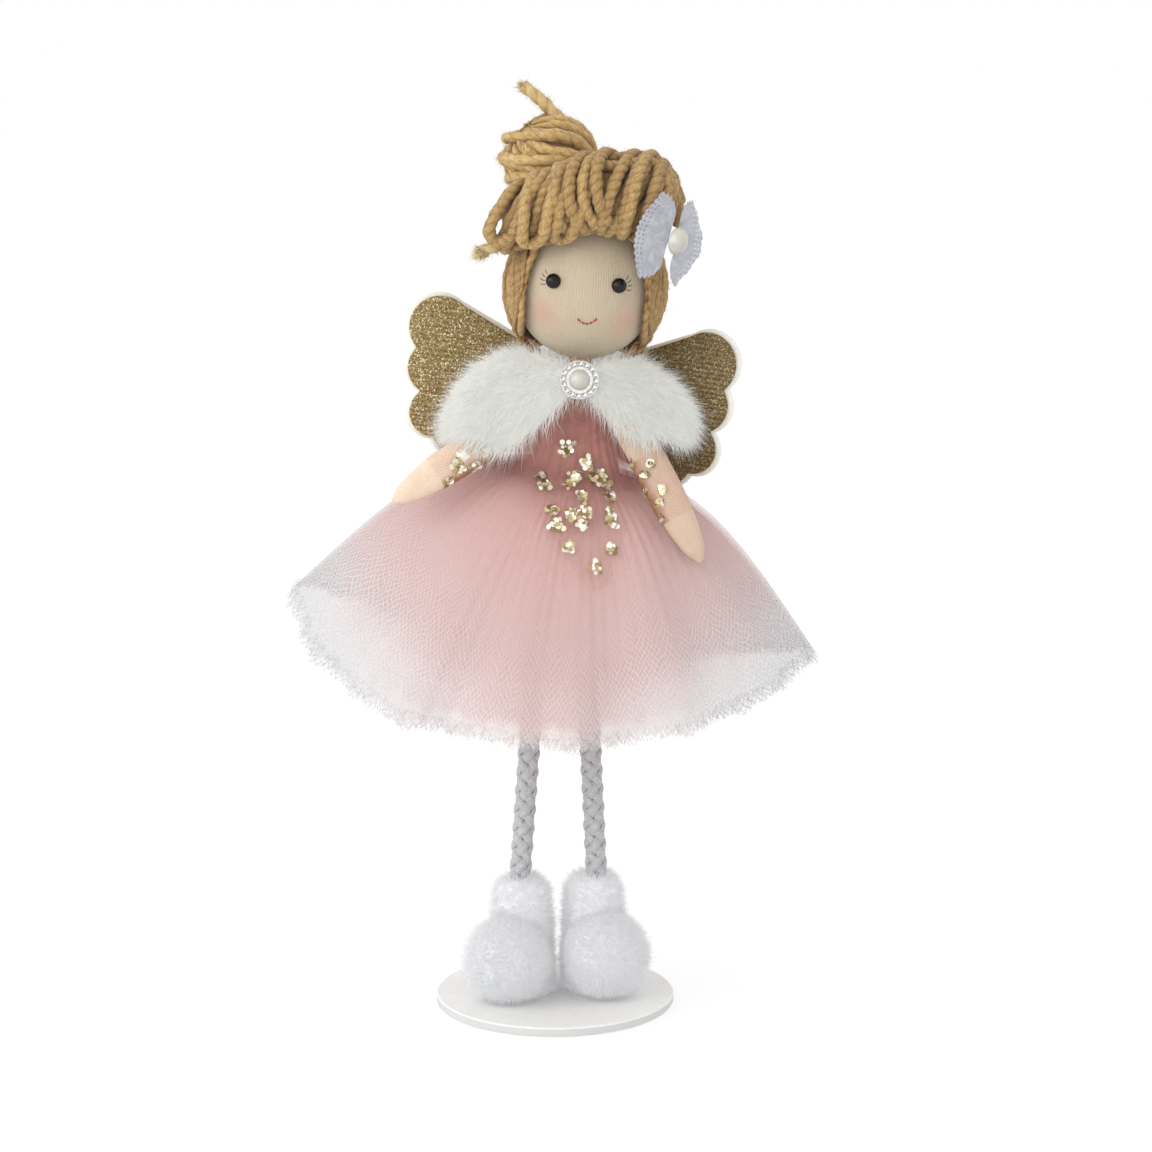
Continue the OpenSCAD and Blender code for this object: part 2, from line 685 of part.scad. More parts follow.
function cape_ring(angle) =
    let (d = [cos(angle), sin(angle), 0],
         top = d * cape_neck_r + [0, 0, shoulder_top + 6],
         hem = d * cape_hem_r(angle) + [0, 0, cape_hem_z(angle)],
         along = unit(hem - top),
         out = unit(cross(along, cross(d, along))))
    ring((top + hem) / 2 + out * 1.5, along, cross([-sin(angle), cos(angle), 0], along),
         norm(hem - top) / 2, fur_t / 2, 14);

wing_x = -1.5;       // offset of the wings from the spine
wing_y = 17;         // depth of the wings' front face at the spine
wing_z = shoulder_h + 0.6;   // height of the wings' centre above the hips

module at_wing(left) {
    upper() translate([wing_x, wing_y, wing_z]) rotate([0, wing_roll, 0]) mirrored(left)
        rotate([0, 0, -(left ? left_sweep : right_sweep)]) children();
}

brooch_h = shoulder_top + 3.3;   // height of the brooch above the hips
brooch_y = -19.5;    // depth of the brooch's back
brooch_tilt = 15;    // its lean back, in degrees
setting_t = 1.2;     // thickness of its setting

module at_brooch() {
    upper() translate([0, brooch_y, brooch_h]) rotate([90 - brooch_tilt, 0, 0]) children();
}

module cape(left) {
    color(white_c) difference() {
        upper() mirrored(left) skin([for (i = [0:13]) cape_ring(mix(-cape_reach, cape_reach, i / 13))]);
        at_head() sphere(wig_r + soft_gap, $fn = 96);
        upper() skin([for (w = body_widths)
            if (w[0] > waist_h - 1) body_ring(w[0], 0.15 + bodice_t + soft_gap, 24)]);
        // The fur is slit where the arm rises under it
        for (lift = [0:15:arm_lift(left)])
            at_shoulder(left, lift)
                skin([for (s = arm_shape) arm_ring(s, soft_gap + sleeve_lift + sleeve_t, 16)]);
        upper() shoulder_bore(left, soft_gap + knot_r - thread_r);
        at_brooch() translate([0, 0, -2]) cylinder(r = brooch_r + seat_gap, h = 12);
        for (side = [true, false])
            at_wing(side) translate([-2, -glitter_t - seat_gap, -beyond / 2]) cube(beyond);
    }
}

module brooch_setting() {
    color(silver_c) at_brooch() difference() {
        cylinder(r = brooch_r, h = setting_t);
        for (i = [0:stone_count - 1]) rotate(360 * i / stone_count)
            translate([brooch_r - stone_r - 0.15, 0, setting_t - 0.3]) cylinder(r = stone_r + fit_gap, h = 2);
    }
}

stone_r = min(0.72, (brooch_r - 0.87) * sin(180 / stone_count) - 0.1);

module brooch_stones() {
    color(white_c) at_brooch() for (i = [0:stone_count - 1]) rotate(360 * i / stone_count)
        translate([brooch_r - stone_r - 0.15, 0, setting_t - 0.3 + fit_gap]) {
            cylinder(r = stone_r, h = 0.5);
            translate([0, 0, 0.5]) cylinder(r1 = stone_r, r2 = stone_r * 0.55, h = 0.45);
        }
}

module brooch_pearl() {
    color(white_c) at_brooch() translate([0, 0, setting_t + fit_gap]) intersection() {
        sphere(brooch_r - 2 * stone_r - 0.6);
        cylinder(r = brooch_r, h = brooch_r);
    }
}

// One wing, root at the origin, running along +X: four scallops that shrink towards the bottom
scallops = [[0.815, 17, 0.19], [0.82, 5.5, 0.17], [0.795, -7, 0.155], [0.67, -12, 0.13]];

module wing_outline(grow) {
    for (s = scallops) translate([wing_len * s[0], s[1]]) circle(wing_len * s[2] + grow);
    polygon([[1, -9], [wing_len * 0.63, -12 - wing_len * 0.12 - grow], [wing_len * 0.75, -8],
             [wing_len * 0.82, 5.5], [wing_len * 0.82, 17], [wing_len * 0.74, 17 + wing_len * 0.17 + grow],
             [wing_len * 0.32, 16 + grow], [1, 8 + grow]]);
}

module wing_felt(left) {
    color(white_c) at_wing(left) translate([0, felt_t, 0]) rotate([90, 0, 0])
        linear_extrude(felt_t) wing_outline(0);
}

module wing_glitter(left) {
    color(gold_c) at_wing(left) rotate([90, 0, 0]) linear_extrude(glitter_t) wing_outline(-felt_rim);
}

base_plate();
boot(true);  // boot_left
boot(false);  // boot_right
toe(true);  // toe_left
toe(false);  // toe_right
leg_wire(true);  // leg_wire_left
leg_wire(false);  // leg_wire_right
leg_rope(true);  // leg_rope_left
leg_rope(false);  // leg_rope_right
torso();
bodice();
waist_band();
skirt_lining();
skirt_inner();
skirt_outer();
sequin_net();
front_sequins();
cape(true);  // cape_left
cape(false);  // cape_right
brooch_setting();
brooch_stones();
brooch_pearl();
wing_felt(true);  // wing_felt_left
wing_felt(false);  // wing_felt_right
wing_glitter(true);  // wing_glitter_left
wing_glitter(false);  // wing_glitter_right
neck_dowel();
neck_frill();
shoulder_thread(true);  // shoulder_thread_left
shoulder_thread(false);  // shoulder_thread_right
head();
eye(true);  // eye_left
eye(false);  // eye_right
hair_wig();
hair_roll();
hair_loops();
hair_bun();
hair_bun_wrap();
hair_tail();
hair_end();
bow_half(true);  // bow_left
bow_half(false);  // bow_right
bow_knot();
bow_pearl();
arm(true);  // arm_left
arm(false);  // arm_right
sleeve(true);  // sleeve_left
sleeve(false);  // sleeve_right
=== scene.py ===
# Standing fairy doll: the finish of every piece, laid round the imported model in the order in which
# the doll is put together, from the base disc to the bow in the hair. Lengths are in millimetres.

import json

import bmesh
import bpy
import numpy as np
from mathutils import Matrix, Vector


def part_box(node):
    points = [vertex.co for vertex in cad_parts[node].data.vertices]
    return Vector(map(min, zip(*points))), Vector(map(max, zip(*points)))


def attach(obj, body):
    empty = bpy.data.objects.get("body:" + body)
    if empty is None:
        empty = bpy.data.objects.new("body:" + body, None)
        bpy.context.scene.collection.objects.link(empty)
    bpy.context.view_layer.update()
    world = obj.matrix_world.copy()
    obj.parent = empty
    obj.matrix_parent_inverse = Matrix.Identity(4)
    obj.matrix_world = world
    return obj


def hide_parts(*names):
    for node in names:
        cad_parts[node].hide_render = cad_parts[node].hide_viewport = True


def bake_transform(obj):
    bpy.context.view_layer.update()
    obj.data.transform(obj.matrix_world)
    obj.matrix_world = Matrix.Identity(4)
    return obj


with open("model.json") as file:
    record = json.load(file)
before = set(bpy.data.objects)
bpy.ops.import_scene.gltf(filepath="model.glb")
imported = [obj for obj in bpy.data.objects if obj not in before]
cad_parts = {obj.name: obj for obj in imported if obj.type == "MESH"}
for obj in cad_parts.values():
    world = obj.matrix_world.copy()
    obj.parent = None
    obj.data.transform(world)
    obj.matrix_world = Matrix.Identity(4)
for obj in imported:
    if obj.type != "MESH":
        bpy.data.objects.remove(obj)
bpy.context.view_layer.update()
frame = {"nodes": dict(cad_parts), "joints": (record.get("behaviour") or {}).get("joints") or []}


# View and light
# The doll stands on a white sweep and is seen from the front and a little above. A large softbox in
# front, a low one below it and a smaller one at each side light it, and the white all round fills in.
MM = 0.001
scene = bpy.context.scene
scene.view_settings.view_transform = "Standard"
scene.cycles.transparent_max_bounces = 96

camera_place = Vector((5.8, -883.5, 291.0)) * MM
camera_aim = Vector((5.8, 0.0, 119.3)) * MM
camera = bpy.data.objects.new("camera", bpy.data.cameras.new("camera"))
camera.data.lens = 104.06
camera.data.sensor_width = 36.0
camera.data.clip_start = 0.05
camera.location = camera_place
camera.rotation_euler = (camera_aim - camera_place).to_track_quat("-Z", "Y").to_euler()
scene.collection.objects.link(camera)
scene.camera = camera


def softbox(name, place, size, watts):
    """A square lamp at a place, turned to the doll's middle."""
    lamp = bpy.data.lights.new(name, "AREA")
    lamp.size = size * MM
    lamp.energy = watts
    made = bpy.data.objects.new(name, lamp)
    made.location = Vector(place) * MM
    made.rotation_euler = (camera_aim - made.location).to_track_quat("-Z", "Y").to_euler()
    scene.collection.objects.link(made)


softbox("front_light", (-900, -750, 800), size=900, watts=4.3)
softbox("low_light", (-250, -1000, 180), size=900, watts=2.0)
softbox("left_light", (-1000, -250, 450), size=600, watts=1.6)
softbox("right_light", (1000, 100, 500), size=600, watts=0.5)


def put(tree, kind, inputs=(), **settings):
    """Adds a shader node, and fills each of its inputs that is named with a value or a link."""
    made = tree.nodes.new(kind)
    for key, value in settings.items():
        setattr(made, key, value)
    for key, value in dict(inputs).items():
        if isinstance(value, bpy.types.NodeSocket):
            tree.links.new(value, made.inputs[key])
        else:
            made.inputs[key].default_value = value
    return made


def maths(tree, operation, first, second=0.0):
    """The output of a Math node."""
    return put(tree, "ShaderNodeMath", {0: first, 1: second}, operation=operation).outputs[0]


def seen_directly(tree):
    """A mask that is 1 for the camera, and for what mirrors and glass show."""
    path = put(tree, "ShaderNodeLightPath").outputs
    mirrored = maths(tree, "MAXIMUM", path["Is Glossy Ray"], path["Is Transmission Ray"])
    return maths(tree, "MAXIMUM", path["Is Camera Ray"], mirrored)


world = bpy.data.worlds.new("white_room")
scene.world = world
world.use_nodes = True
room = world.node_tree
room.nodes.clear()
white = (1.0, 1.0, 1.0, 1.0)
fill_light = put(room, "ShaderNodeBackground", {"Color": white, "Strength": 1.05}).outputs[0]
white_wall = put(room, "ShaderNodeBackground", {"Color": white, "Strength": 1.0}).outputs[0]
room_mix = put(room, "ShaderNodeMixShader", {0: seen_directly(room), 1: fill_light, 2: white_wall})
put(room, "ShaderNodeOutputWorld", {"Surface": room_mix.outputs[0]})

floor_mesh = bpy.data.meshes.new("floor")
floor_half = 4.0
floor_below = 0.0002
floor_mesh.from_pydata([(-floor_half, -floor_half, 0), (floor_half, -floor_half, 0),
                        (floor_half, floor_half, 0), (-floor_half, floor_half, 0)], [], [(0, 1, 2, 3)])
floor = bpy.data.objects.new("floor", floor_mesh)
floor.location.z = -floor_below
scene.collection.objects.link(floor)
floor_finish = bpy.data.materials.new("white_sweep")
floor_finish.use_nodes = True
sweep = floor_finish.node_tree
sweep.nodes.clear()
paper = put(sweep, "ShaderNodeBsdfDiffuse", {"Color": (0.85, 0.85, 0.85, 1.0)})
glow = put(sweep, "ShaderNodeEmission", {"Color": white, "Strength": 1.06})
glow_share = maths(sweep, "MULTIPLY", seen_directly(sweep), 0.72)
sweep_mix = put(sweep, "ShaderNodeMixShader", {0: glow_share, 1: paper.outputs[0], 2: glow.outputs[0]})
put(sweep, "ShaderNodeOutputMaterial", {"Surface": sweep_mix.outputs[0]})
floor_mesh.materials.append(floor_finish)


# Base disc
# A round of thin board, sprayed matt white. Its upright edge is coloured greyer than its top, and
# two drilled holes hold the leg wires.


def tone(red, green, blue):
    """A screen colour, 0 to 255, as linear red, green, blue and alpha."""
    share = np.array((red, green, blue)) / 255.0
    linear = np.where(share <= 0.04045, share / 12.92, ((share + 0.055) / 1.055) ** 2.4)
    return (*linear.tolist(), 1.0)


def new_finish(name, roughness, **constants):
    """A material with its tree and its shader, which has that roughness and those constants."""
    finish = bpy.data.materials.new(name)
    finish.use_nodes = True
    shader = finish.node_tree.nodes["Principled BSDF"]
    shader.inputs["Roughness"].default_value = roughness
    for key, value in constants.items():
        shader.inputs[key.replace("_", " ")].default_value = value
    return finish, finish.node_tree, shader


def colour_mix(tree, share, first, second):
    """The output of a colour Mix node: first where share is 0, second where it is 1."""
    return put(tree, "ShaderNodeMix", {0: share, 6: first, 7: second}, data_type="RGBA").outputs[2]


def spread(tree, value, low, high, to_low=0.0, to_high=1.0):
    """A value from low to high, moved to another range and held within it."""
    return put(tree, "ShaderNodeMapRange", {"Value": value, "From Min": low, "From Max": high,
                                            "To Min": to_low, "To Max": to_high}).outputs[0]


def place_of(tree):
    """The place on the piece, in its own coordinates."""
    return put(tree, "ShaderNodeTexCoord").outputs["Object"]


def noise(tree, place, scale, detail=2.0):
    """The value, about 0.5, of a noise laid over a place."""
    return put(tree, "ShaderNodeTexNoise", {"Vector": place, "Scale": scale, "Detail": detail}).outputs["Fac"]


def bumps(tree, height, strength, depth):
    """The normal of a surface raised by a height, in shares of a depth in mm."""
    inputs = {"Height": height, "Strength": strength, "Distance": depth * MM}
    return put(tree, "ShaderNodeBump", inputs).outputs["Normal"]


def tint(tree, shader, share, first, second):
    """Gives a shader its colour: first where share is 0, second where it is 1."""
    tree.links.new(colour_mix(tree, share, first, second), shader.inputs["Base Color"])


def shader_group(name, inputs, outputs):
    """An empty node group with those sockets, and its input and output nodes."""
    group = bpy.data.node_groups.new(name, "ShaderNodeTree")
    for label, kind in inputs:
        group.interface.new_socket(label, in_out="INPUT", socket_type="NodeSocket" + kind)
    for label, kind in outputs:
        group.interface.new_socket(label, in_out="OUTPUT", socket_type="NodeSocket" + kind)
    return group, put(group, "NodeGroupInput").outputs, put(group, "NodeGroupOutput").inputs


# Mottled surface: two noises, one five times finer, lead from the dark colour to the light one
mottle, mottle_in, mottle_out = shader_group(
    "mottle", [("Dark", "Color"), ("Light", "Color"), ("Scale", "Float")],
    [("Colour", "Color"), ("Height", "Float")])
mottle_place = place_of(mottle)
mottle_wide = noise(mottle, mottle_place, mottle_in["Scale"], 3.0)
mottle_grain = noise(mottle, mottle_place, maths(mottle, "MULTIPLY", mottle_in["Scale"], 5.0))
mottle_share = spread(mottle, maths(mottle, "ADD", mottle_wide, mottle_grain), 0.7, 1.3)
mottle_colour = colour_mix(mottle, mottle_share, mottle_in["Dark"], mottle_in["Light"])
mottle.links.new(mottle_colour, mottle_out["Colour"])
mottle.links.new(mottle_grain, mottle_out["Height"])


def mottled(tree, shader, dark, light, scale, bump_depth):
    """Lays the mottle group on a shader, its colour and its bump in mm, and gives back the colour."""
    inputs = {"Dark": dark, "Light": light, "Scale": scale}
    group = put(tree, "ShaderNodeGroup", inputs, node_tree=mottle).outputs
    tree.links.new(group["Colour"], shader.inputs["Base Color"])
    tree.links.new(bumps(tree, group["Height"], 0.6, bump_depth), shader.inputs["Normal"])
    return group["Colour"]


paint, paint_tree, paint_shader = new_finish("white_paint", 0.55)
paint_base = mottled(paint_tree, paint_shader, tone(226, 227, 225), tone(236, 236, 234), 160.0, 0.05)
paint_normal = put(paint_tree, "ShaderNodeNewGeometry").outputs["Normal"]
paint_up = put(paint_tree, "ShaderNodeSeparateXYZ", {0: paint_normal}).outputs["Z"]
paint_edge = spread(paint_tree, maths(paint_tree, "ABSOLUTE", paint_up), 0.2, 0.8, 1.0, 0.0)
tint(paint_tree, paint_shader, paint_edge, paint_base, tone(203, 206, 203))


def dress(node, finish):
    """Gives a CAD node that stays in view its finish."""
    mesh = frame["nodes"][node].data
    mesh.materials.clear()
    mesh.materials.append(finish)


dress("base_plate", paint)
base_top = 2.5


# Leg wires
# A straight steel wire runs up each leg, from a hole in the disc into the stuffed body. The rope and
# the boot hide all of it.


def plain_finish(name, roughness, dark, light, scale, bump_depth, **constants):
    """A finish of mottled colour alone."""
    finish, tree, shader = new_finish(name, roughness, **constants)
    mottled(tree, shader, dark, light, scale, bump_depth)
    return finish


steel = plain_finish("bright_wire", 0.3, tone(150, 150, 152), tone(178, 178, 180), 900.0, 0.02, Metallic=1.0)
for side_name in ("left", "right"):
    dress("leg_wire_" + side_name, steel)


# Rope legs
# Soft white cotton cord, braided from eight flat strands, four each way round. Each strand passes
# over one and under the next. A cord is slid over each wire and glued into the boot and the body.
feet_gap = 25.2
feet_shift = 0.5
right_foot_back = 4.0
right_hip_back = 1.0
hips_gap = 12.8
hips_height = 105.0
hips_shift = 1.8
rope_radius = 3.1
rope_low = 28.0
rope_high = 103.5
braid_pitch = 21.0
strand_half_width = 1.3
strand_half_depth = 0.72
strand_wave = 0.42
rope_rows = 190


def unit(vectors):
    """The vectors at length one."""
    return vectors / np.linalg.norm(vectors, axis=-1, keepdims=True)


def turns(count):
    """Angles at that many even steps once round."""
    return np.arange(count) * 2 * np.pi / count


def grid(points, wrap, across, along, shade=0.0):
    """Quads over points (strands, steps, around, 3). Wrap joins each ring's ends. Across and along are
    the cloth's width and length in mm, or the cloth coordinates of the columns and of the steps."""
    count, rows, cols = points.shape[:3]
    spans = cols if wrap else cols - 1
    if np.isscalar(across):
        across = np.linspace(0.0, across, spans + 1)
    if np.isscalar(along):
        along = np.linspace(0.0, along, rows)
    cells = np.meshgrid(np.arange(count), np.arange(rows - 1), np.arange(spans), indexing="ij")
    strand, step, place = (index.reshape(-1, 1) for index in cells)
    row = step + np.array([[0, 0, 1, 1]])
    col = place + np.array([[0, 1, 1, 0]])
    faces = (strand * rows + row) * cols + col % cols
    lengthwise = np.broadcast_to(along, (count, rows))
    uv = np.stack([np.asarray(across)[col], lengthwise[strand, row]], axis=-1)
    shades = np.broadcast_to(shade, points.shape[:3]).reshape(-1)
    return {"points": points.reshape(-1, 3), "faces": [faces], "uv": [uv], "shade": shades}


def across_path(paths, over):
    """Two directions across each path at each step: the one nearest to over, and the one beside it."""
    ahead = unit(np.gradient(paths, axis=1))
    up = unit(over - ahead * np.sum(over * ahead, axis=-1, keepdims=True))
    return up[:, :, None], np.cross(ahead, up)[:, :, None]


def tube(paths, over, half_depth, half_width, sides):
    """Ellipses carried along paths (strands, steps, 3): half_depth towards over, half_width beside it."""
    up, beside = across_path(paths, over)
    turn = turns(sides)[:, None]
    deep = np.broadcast_to(half_depth, paths.shape[:2])[:, :, None, None]
    wide = np.broadcast_to(half_width, paths.shape[:2])[:, :, None, None]
    return paths[:, :, None] + deep * np.cos(turn) * up + wide * np.sin(turn) * beside


def lengths(paths):
    """How far along its path each point of each strand lies."""
    steps = np.linalg.norm(np.diff(paths, axis=1), axis=-1)
    return np.concatenate([np.zeros((len(paths), 1)), np.cumsum(steps, axis=1)], axis=1)


def make_piece(name, parts, finish, body, stands_for):
    """One object of joined parts, each with points in mm, faces, cloth coordinates and shades. Points
    that coincide are merged, so that seams and poles close."""
    points = np.concatenate([part["points"] for part in parts]) * MM
    shades = np.concatenate([part["shade"] for part in parts])
    offsets = np.cumsum([0] + [len(part["points"]) for part in parts])
    faces = [block + offset for part, offset in zip(parts, offsets) for block in part["faces"]]
    uvs = np.concatenate([block.reshape(-1, 2) for part in parts for block in part["uv"]])
    corner_counts = np.concatenate([np.full(len(block), block.shape[1]) for block in faces])
    corners = np.concatenate([block.ravel() for block in faces])
    mesh = bpy.data.meshes.new(name)
    mesh.vertices.add(len(points))
    mesh.vertices.foreach_set("co", points.astype(np.float32).ravel())
    mesh.loops.add(len(corners))
    mesh.loops.foreach_set("vertex_index", corners.astype(np.int32))
    mesh.polygons.add(len(corner_counts))
    mesh.polygons.foreach_set("loop_start", (np.cumsum(corner_counts) - corner_counts).astype(np.int32))
    mesh.update(calc_edges=True)
    mesh.uv_layers.new(name="cloth").uv.foreach_set("vector", uvs.astype(np.float32).ravel())
    mesh.attributes.new("shade", "FLOAT", "POINT").data.foreach_set("value", shades.astype(np.float32))
    whole = bmesh.new()
    whole.from_mesh(mesh)
    bmesh.ops.remove_doubles(whole, verts=whole.verts, dist=2e-7)
    whole.to_mesh(mesh)
    whole.free()
    mesh.shade_smooth()
    mesh.materials.append(finish)
    made = bpy.data.objects.new(name, mesh)
    scene.collection.objects.link(made)
    if body:
        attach(made, body)
    if stands_for:
        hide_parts(*stands_for)
    return made


def cloth_of(tree):
    """The cloth coordinates of a piece, in mm."""
    return put(tree, "ShaderNodeUVMap", uv_map="cloth").outputs[0]


def ridges(tree, pitch, direction="X"):
    """A wave from -1 to 1, one every pitch mm along one direction of the cloth coordinates."""
    place = put(tree, "ShaderNodeSeparateXYZ", {0: cloth_of(tree)}).outputs[direction]
    return maths(tree, "SINE", maths(tree, "MULTIPLY", place, 2 * np.pi / pitch))


rope_finish, rope_tree, rope_shader = new_finish("white_cotton", 0.9)
rope_base = mottled(rope_tree, rope_shader, tone(174, 173, 175), tone(196, 196, 198), 700.0, 0.05)
rope_threads = ridges(rope_tree, 0.36)
# Painted shade: the gaps between the threads are coloured darker.
rope_gap_shade = spread(rope_tree, rope_threads, -1.0, -0.2, 0.22, 0.0)
tint(rope_tree, rope_shader, rope_gap_shade, rope_base, tone(150, 150, 154))
rope_tree.links.new(bumps(rope_tree, rope_threads, 0.7, 0.07), rope_shader.inputs["Normal"])

rope_steps = np.linspace(0.0, 1.0, rope_rows)
for side_name, side in (("left", -1.0), ("right", 1.0)):
    foot = np.array((side * feet_gap / 2 + feet_shift, right_foot_back * (side > 0), 0.0))
    hip = np.array((side * hips_gap / 2 + hips_shift, right_hip_back * (side > 0), hips_height))
    leg_heights = (rope_low + (rope_high - rope_low) * rope_steps) / hips_height
    leg_line = foot + (hip - foot) * leg_heights[:, None]
    leg_way = unit(hip - foot)
    leg_beside = unit(np.cross((0.0, 1.0, 0.0), leg_way))
    leg_back = np.cross(leg_way, leg_beside)
    advance = 2 * np.pi * (rope_high - rope_low) * rope_steps / braid_pitch
    hand = np.repeat((1.0, -1.0), 4)[:, None]
    turned = np.tile(np.arange(4) * np.pi / 2, 2)[:, None] + hand * advance
    outward = np.cos(turned)[..., None] * leg_beside + np.sin(turned)[..., None] * leg_back
    ring_radius = rope_radius - strand_half_depth - strand_wave + hand * strand_wave * np.cos(4 * advance)
    strand_paths = leg_line + outward * ring_radius[..., None]
    strand_rings = tube(strand_paths, outward, strand_half_depth, strand_half_width, 10)
    strands = grid(strand_rings, True, 2.6 * strand_half_width, lengths(strand_paths))
    core_radius = np.full((1, len(leg_line)), rope_radius - 2.0 * strand_half_depth)
    core_radius[:, [0, -1]] = 0.0
    core_over = np.broadcast_to(leg_beside, (1,) + leg_line.shape)
    core_rings = tube(leg_line[None], core_over, core_radius, core_radius, 12)
    rope_core = grid(core_rings, True, 9.0, lengths(leg_line[None]))
    make_piece("leg_rope_braid_" + side_name, [strands, rope_core], rope_finish, "stand_and_body",
               ["leg_rope_" + side_name])


# Plush boots
# Each boot is a stuffed shaft of short white pile with a large pompom in front for the toe. Shaft and
# pompom are glued to the disc and to each other, and the rope goes down into the shaft.


def scattered(part, count, dice):
    """Random points spread evenly over a part's faces, with the outward direction at each."""
    quads = part["points"][part["faces"][0]]
    first = np.cross(quads[:, 1] - quads[:, 0], quads[:, 2] - quads[:, 0])
    second = np.cross(quads[:, 2] - quads[:, 0], quads[:, 3] - quads[:, 0])
    area = np.linalg.norm(first, axis=1) + np.linalg.norm(second, axis=1)
    chosen = dice.choice(len(quads), count, p=area / area.sum())
    share = dice.random((count, 2, 1))
    low = quads[chosen, 0] * (1 - share[:, 0]) + quads[chosen, 1] * share[:, 0]
    high = quads[chosen, 3] * (1 - share[:, 0]) + quads[chosen, 2] * share[:, 0]
    return low * (1 - share[:, 1]) + high * share[:, 1], unit((first + second)[chosen] + 1e-12)


def hairs(roots, way, sag, length, width, dice, shade=0.0):
    """Tapered three-sided hairs. Each leaves its root along its way, bows by its sag with the square of
    the distance, and ends in a point. The shade runs from 0 at the root to 1 at the tip; where a finish
    lightens with it, as the plush and the fur do, this is a painted shade at the roots."""
    steps = np.array((0.0, 0.55))
    taper = np.array((1.0, 0.75))
    count = len(roots)
    beside = unit(np.cross(way, dice.normal(size=way.shape)))
    over = np.cross(way, beside)
    bowed = steps[:, None] * way[:, None] + (steps**2)[:, None] * sag[:, None]
    line = roots[:, None] + length[:, None, None] * bowed
    turn = turns(3)[:, None]
    ring = np.cos(turn) * beside[:, None] + np.sin(turn) * over[:, None]
    rings = line[:, :, None] + (width[:, None] * taper)[:, :, None, None] * ring[:, None]
    tips = roots + length[:, None] * (way + sag)
    tufts = np.broadcast_to(shade, (count,))
    made = grid(rings, True, 1.0, steps, 0.6 * steps[:, None] + 0.4 * tufts[:, None, None])
    last = (np.arange(count) * len(steps) + len(steps) - 1)[:, None] * 3
    tip = rings.size // 3 + np.arange(count)[:, None]
    spike = np.concatenate([last + np.array([[0, 1]]), tip], axis=1)
    spikes = [spike, spike + np.array([[1, 1, 0]]), spike + np.array([[2, -1, 0]])]
    made["points"] = np.concatenate([made["points"], tips])
    made["faces"] += spikes
    made["uv"] += [np.zeros((count, 3, 2))] * 3
    made["shade"] = np.concatenate([made["shade"], 0.6 + 0.4 * tufts])
    return made


def lumps(points, size):
    """A smooth wave over space, from -1 to 1, with bumps of about that size: the mean of three sines
    that run different ways."""
    ways = np.array(((1.0, 0.7, 0.4), (-0.6, 1.0, 0.8), (0.5, -0.9, 1.1)))
    return np.sin(points @ ways.T / size + np.array((0.0, 1.3, 2.1))).mean(axis=-1)


def around(wide, angle, height, deep=None):
    """Points at those angles on rounds about an upright line, at those heights. The rounds are circles,
    or ellipses where they have a depth of their own."""
    x = wide * np.cos(angle)
    y = (wide if deep is None else deep) * np.sin(angle)
    return np.stack(np.broadcast_arrays(x, y, height), axis=-1)


def turned_form(profile, middle, sides):
    """A profile of radius and height, from bottom to top, turned about an upright line."""
    rings = around(profile[:, 0, None], turns(sides), profile[:, 1, None])
    return (rings + np.asarray(middle))[None]


def on_circle(angle):
    """Points of a circle of radius one at those angles."""
    return np.stack([np.cos(angle), np.sin(angle)], axis=-1)


def ball_outline(steps):
    """Half a circle of radius one, from its lowest point to its highest, as radius and height."""
    outline = on_circle(np.linspace(-np.pi / 2, np.pi / 2, steps))
    outline[[0, -1], 0] = 0.0
    return outline


def shade_of(tree):
    """The shade that a piece's mesh holds at each point."""
    return put(tree, "ShaderNodeAttribute", attribute_name="shade").outputs["Fac"]


def shaded_finish(name, roughness, dark, light, scale, bump_depth, far, **constants):
    """A mottled finish whose colour goes over to the far one as the mesh's shade rises to 1."""
    finish, tree, shader = new_finish(name, roughness, **constants)
    base = mottled(tree, shader, dark, light, scale, bump_depth)
    tint(tree, shader, shade_of(tree), base, far)
    return finish


# Painted light: the pile lightens from root to tip, a painted shade at the roots, and the plush glows a
# little, a painted brightening.
plush = shaded_finish("white_plush", 1.0, tone(224, 224, 226), tone(232, 232, 234), 450.0, 0.15,
                      tone(240, 241, 243), Sheen_Weight=0.1, Emission_Color=tone(252, 253, 255),
                      Emission_Strength=0.12)

pile_length = 2.5
pile_width = 0.07
pile_inset = 1.3
sole_gap = 0.05
shaft_hairs = 16000
toe_hairs = 20000
crown_round = 4.5
toe_sunk = 0.6
plush_dice = np.random.default_rng(11)


def plush_form(name, rings, node, count):
    """A soft lump of pile: the form drawn in by most of the pile, with hairs out to the form's surface."""
    drawn = rings + 0.18 * lumps(rings, 3.1)[..., None] * np.array((1.0, 1.0, 0.0))
    core = grid(drawn, True, 60.0, 40.0)
    roots, out = scattered(core, count, plush_dice)
    keep = roots[:, 2] > base_top + 0.6
    roots, out = roots[keep], out[keep]
    way = unit(out + 0.45 * plush_dice.normal(size=out.shape))
    way[:, 2] = np.where(roots[:, 2] < base_top + 2.0, np.maximum(way[:, 2], 0.05), way[:, 2])
    sag = 0.25 * plush_dice.normal(size=out.shape) + np.array((0.0, 0.0, 0.03))
    long = pile_length * plush_dice.uniform(0.6, 1.1, len(roots))
    pile = hairs(roots - 0.2 * out, way, sag, long, np.full(len(roots), pile_width), plush_dice,
                 plush_dice.random(len(roots)))
    pile["points"][:, 2] = np.maximum(pile["points"][:, 2], base_top + sole_gap)
    made = make_piece(name, [core, pile], plush, "stand_and_body", [node])


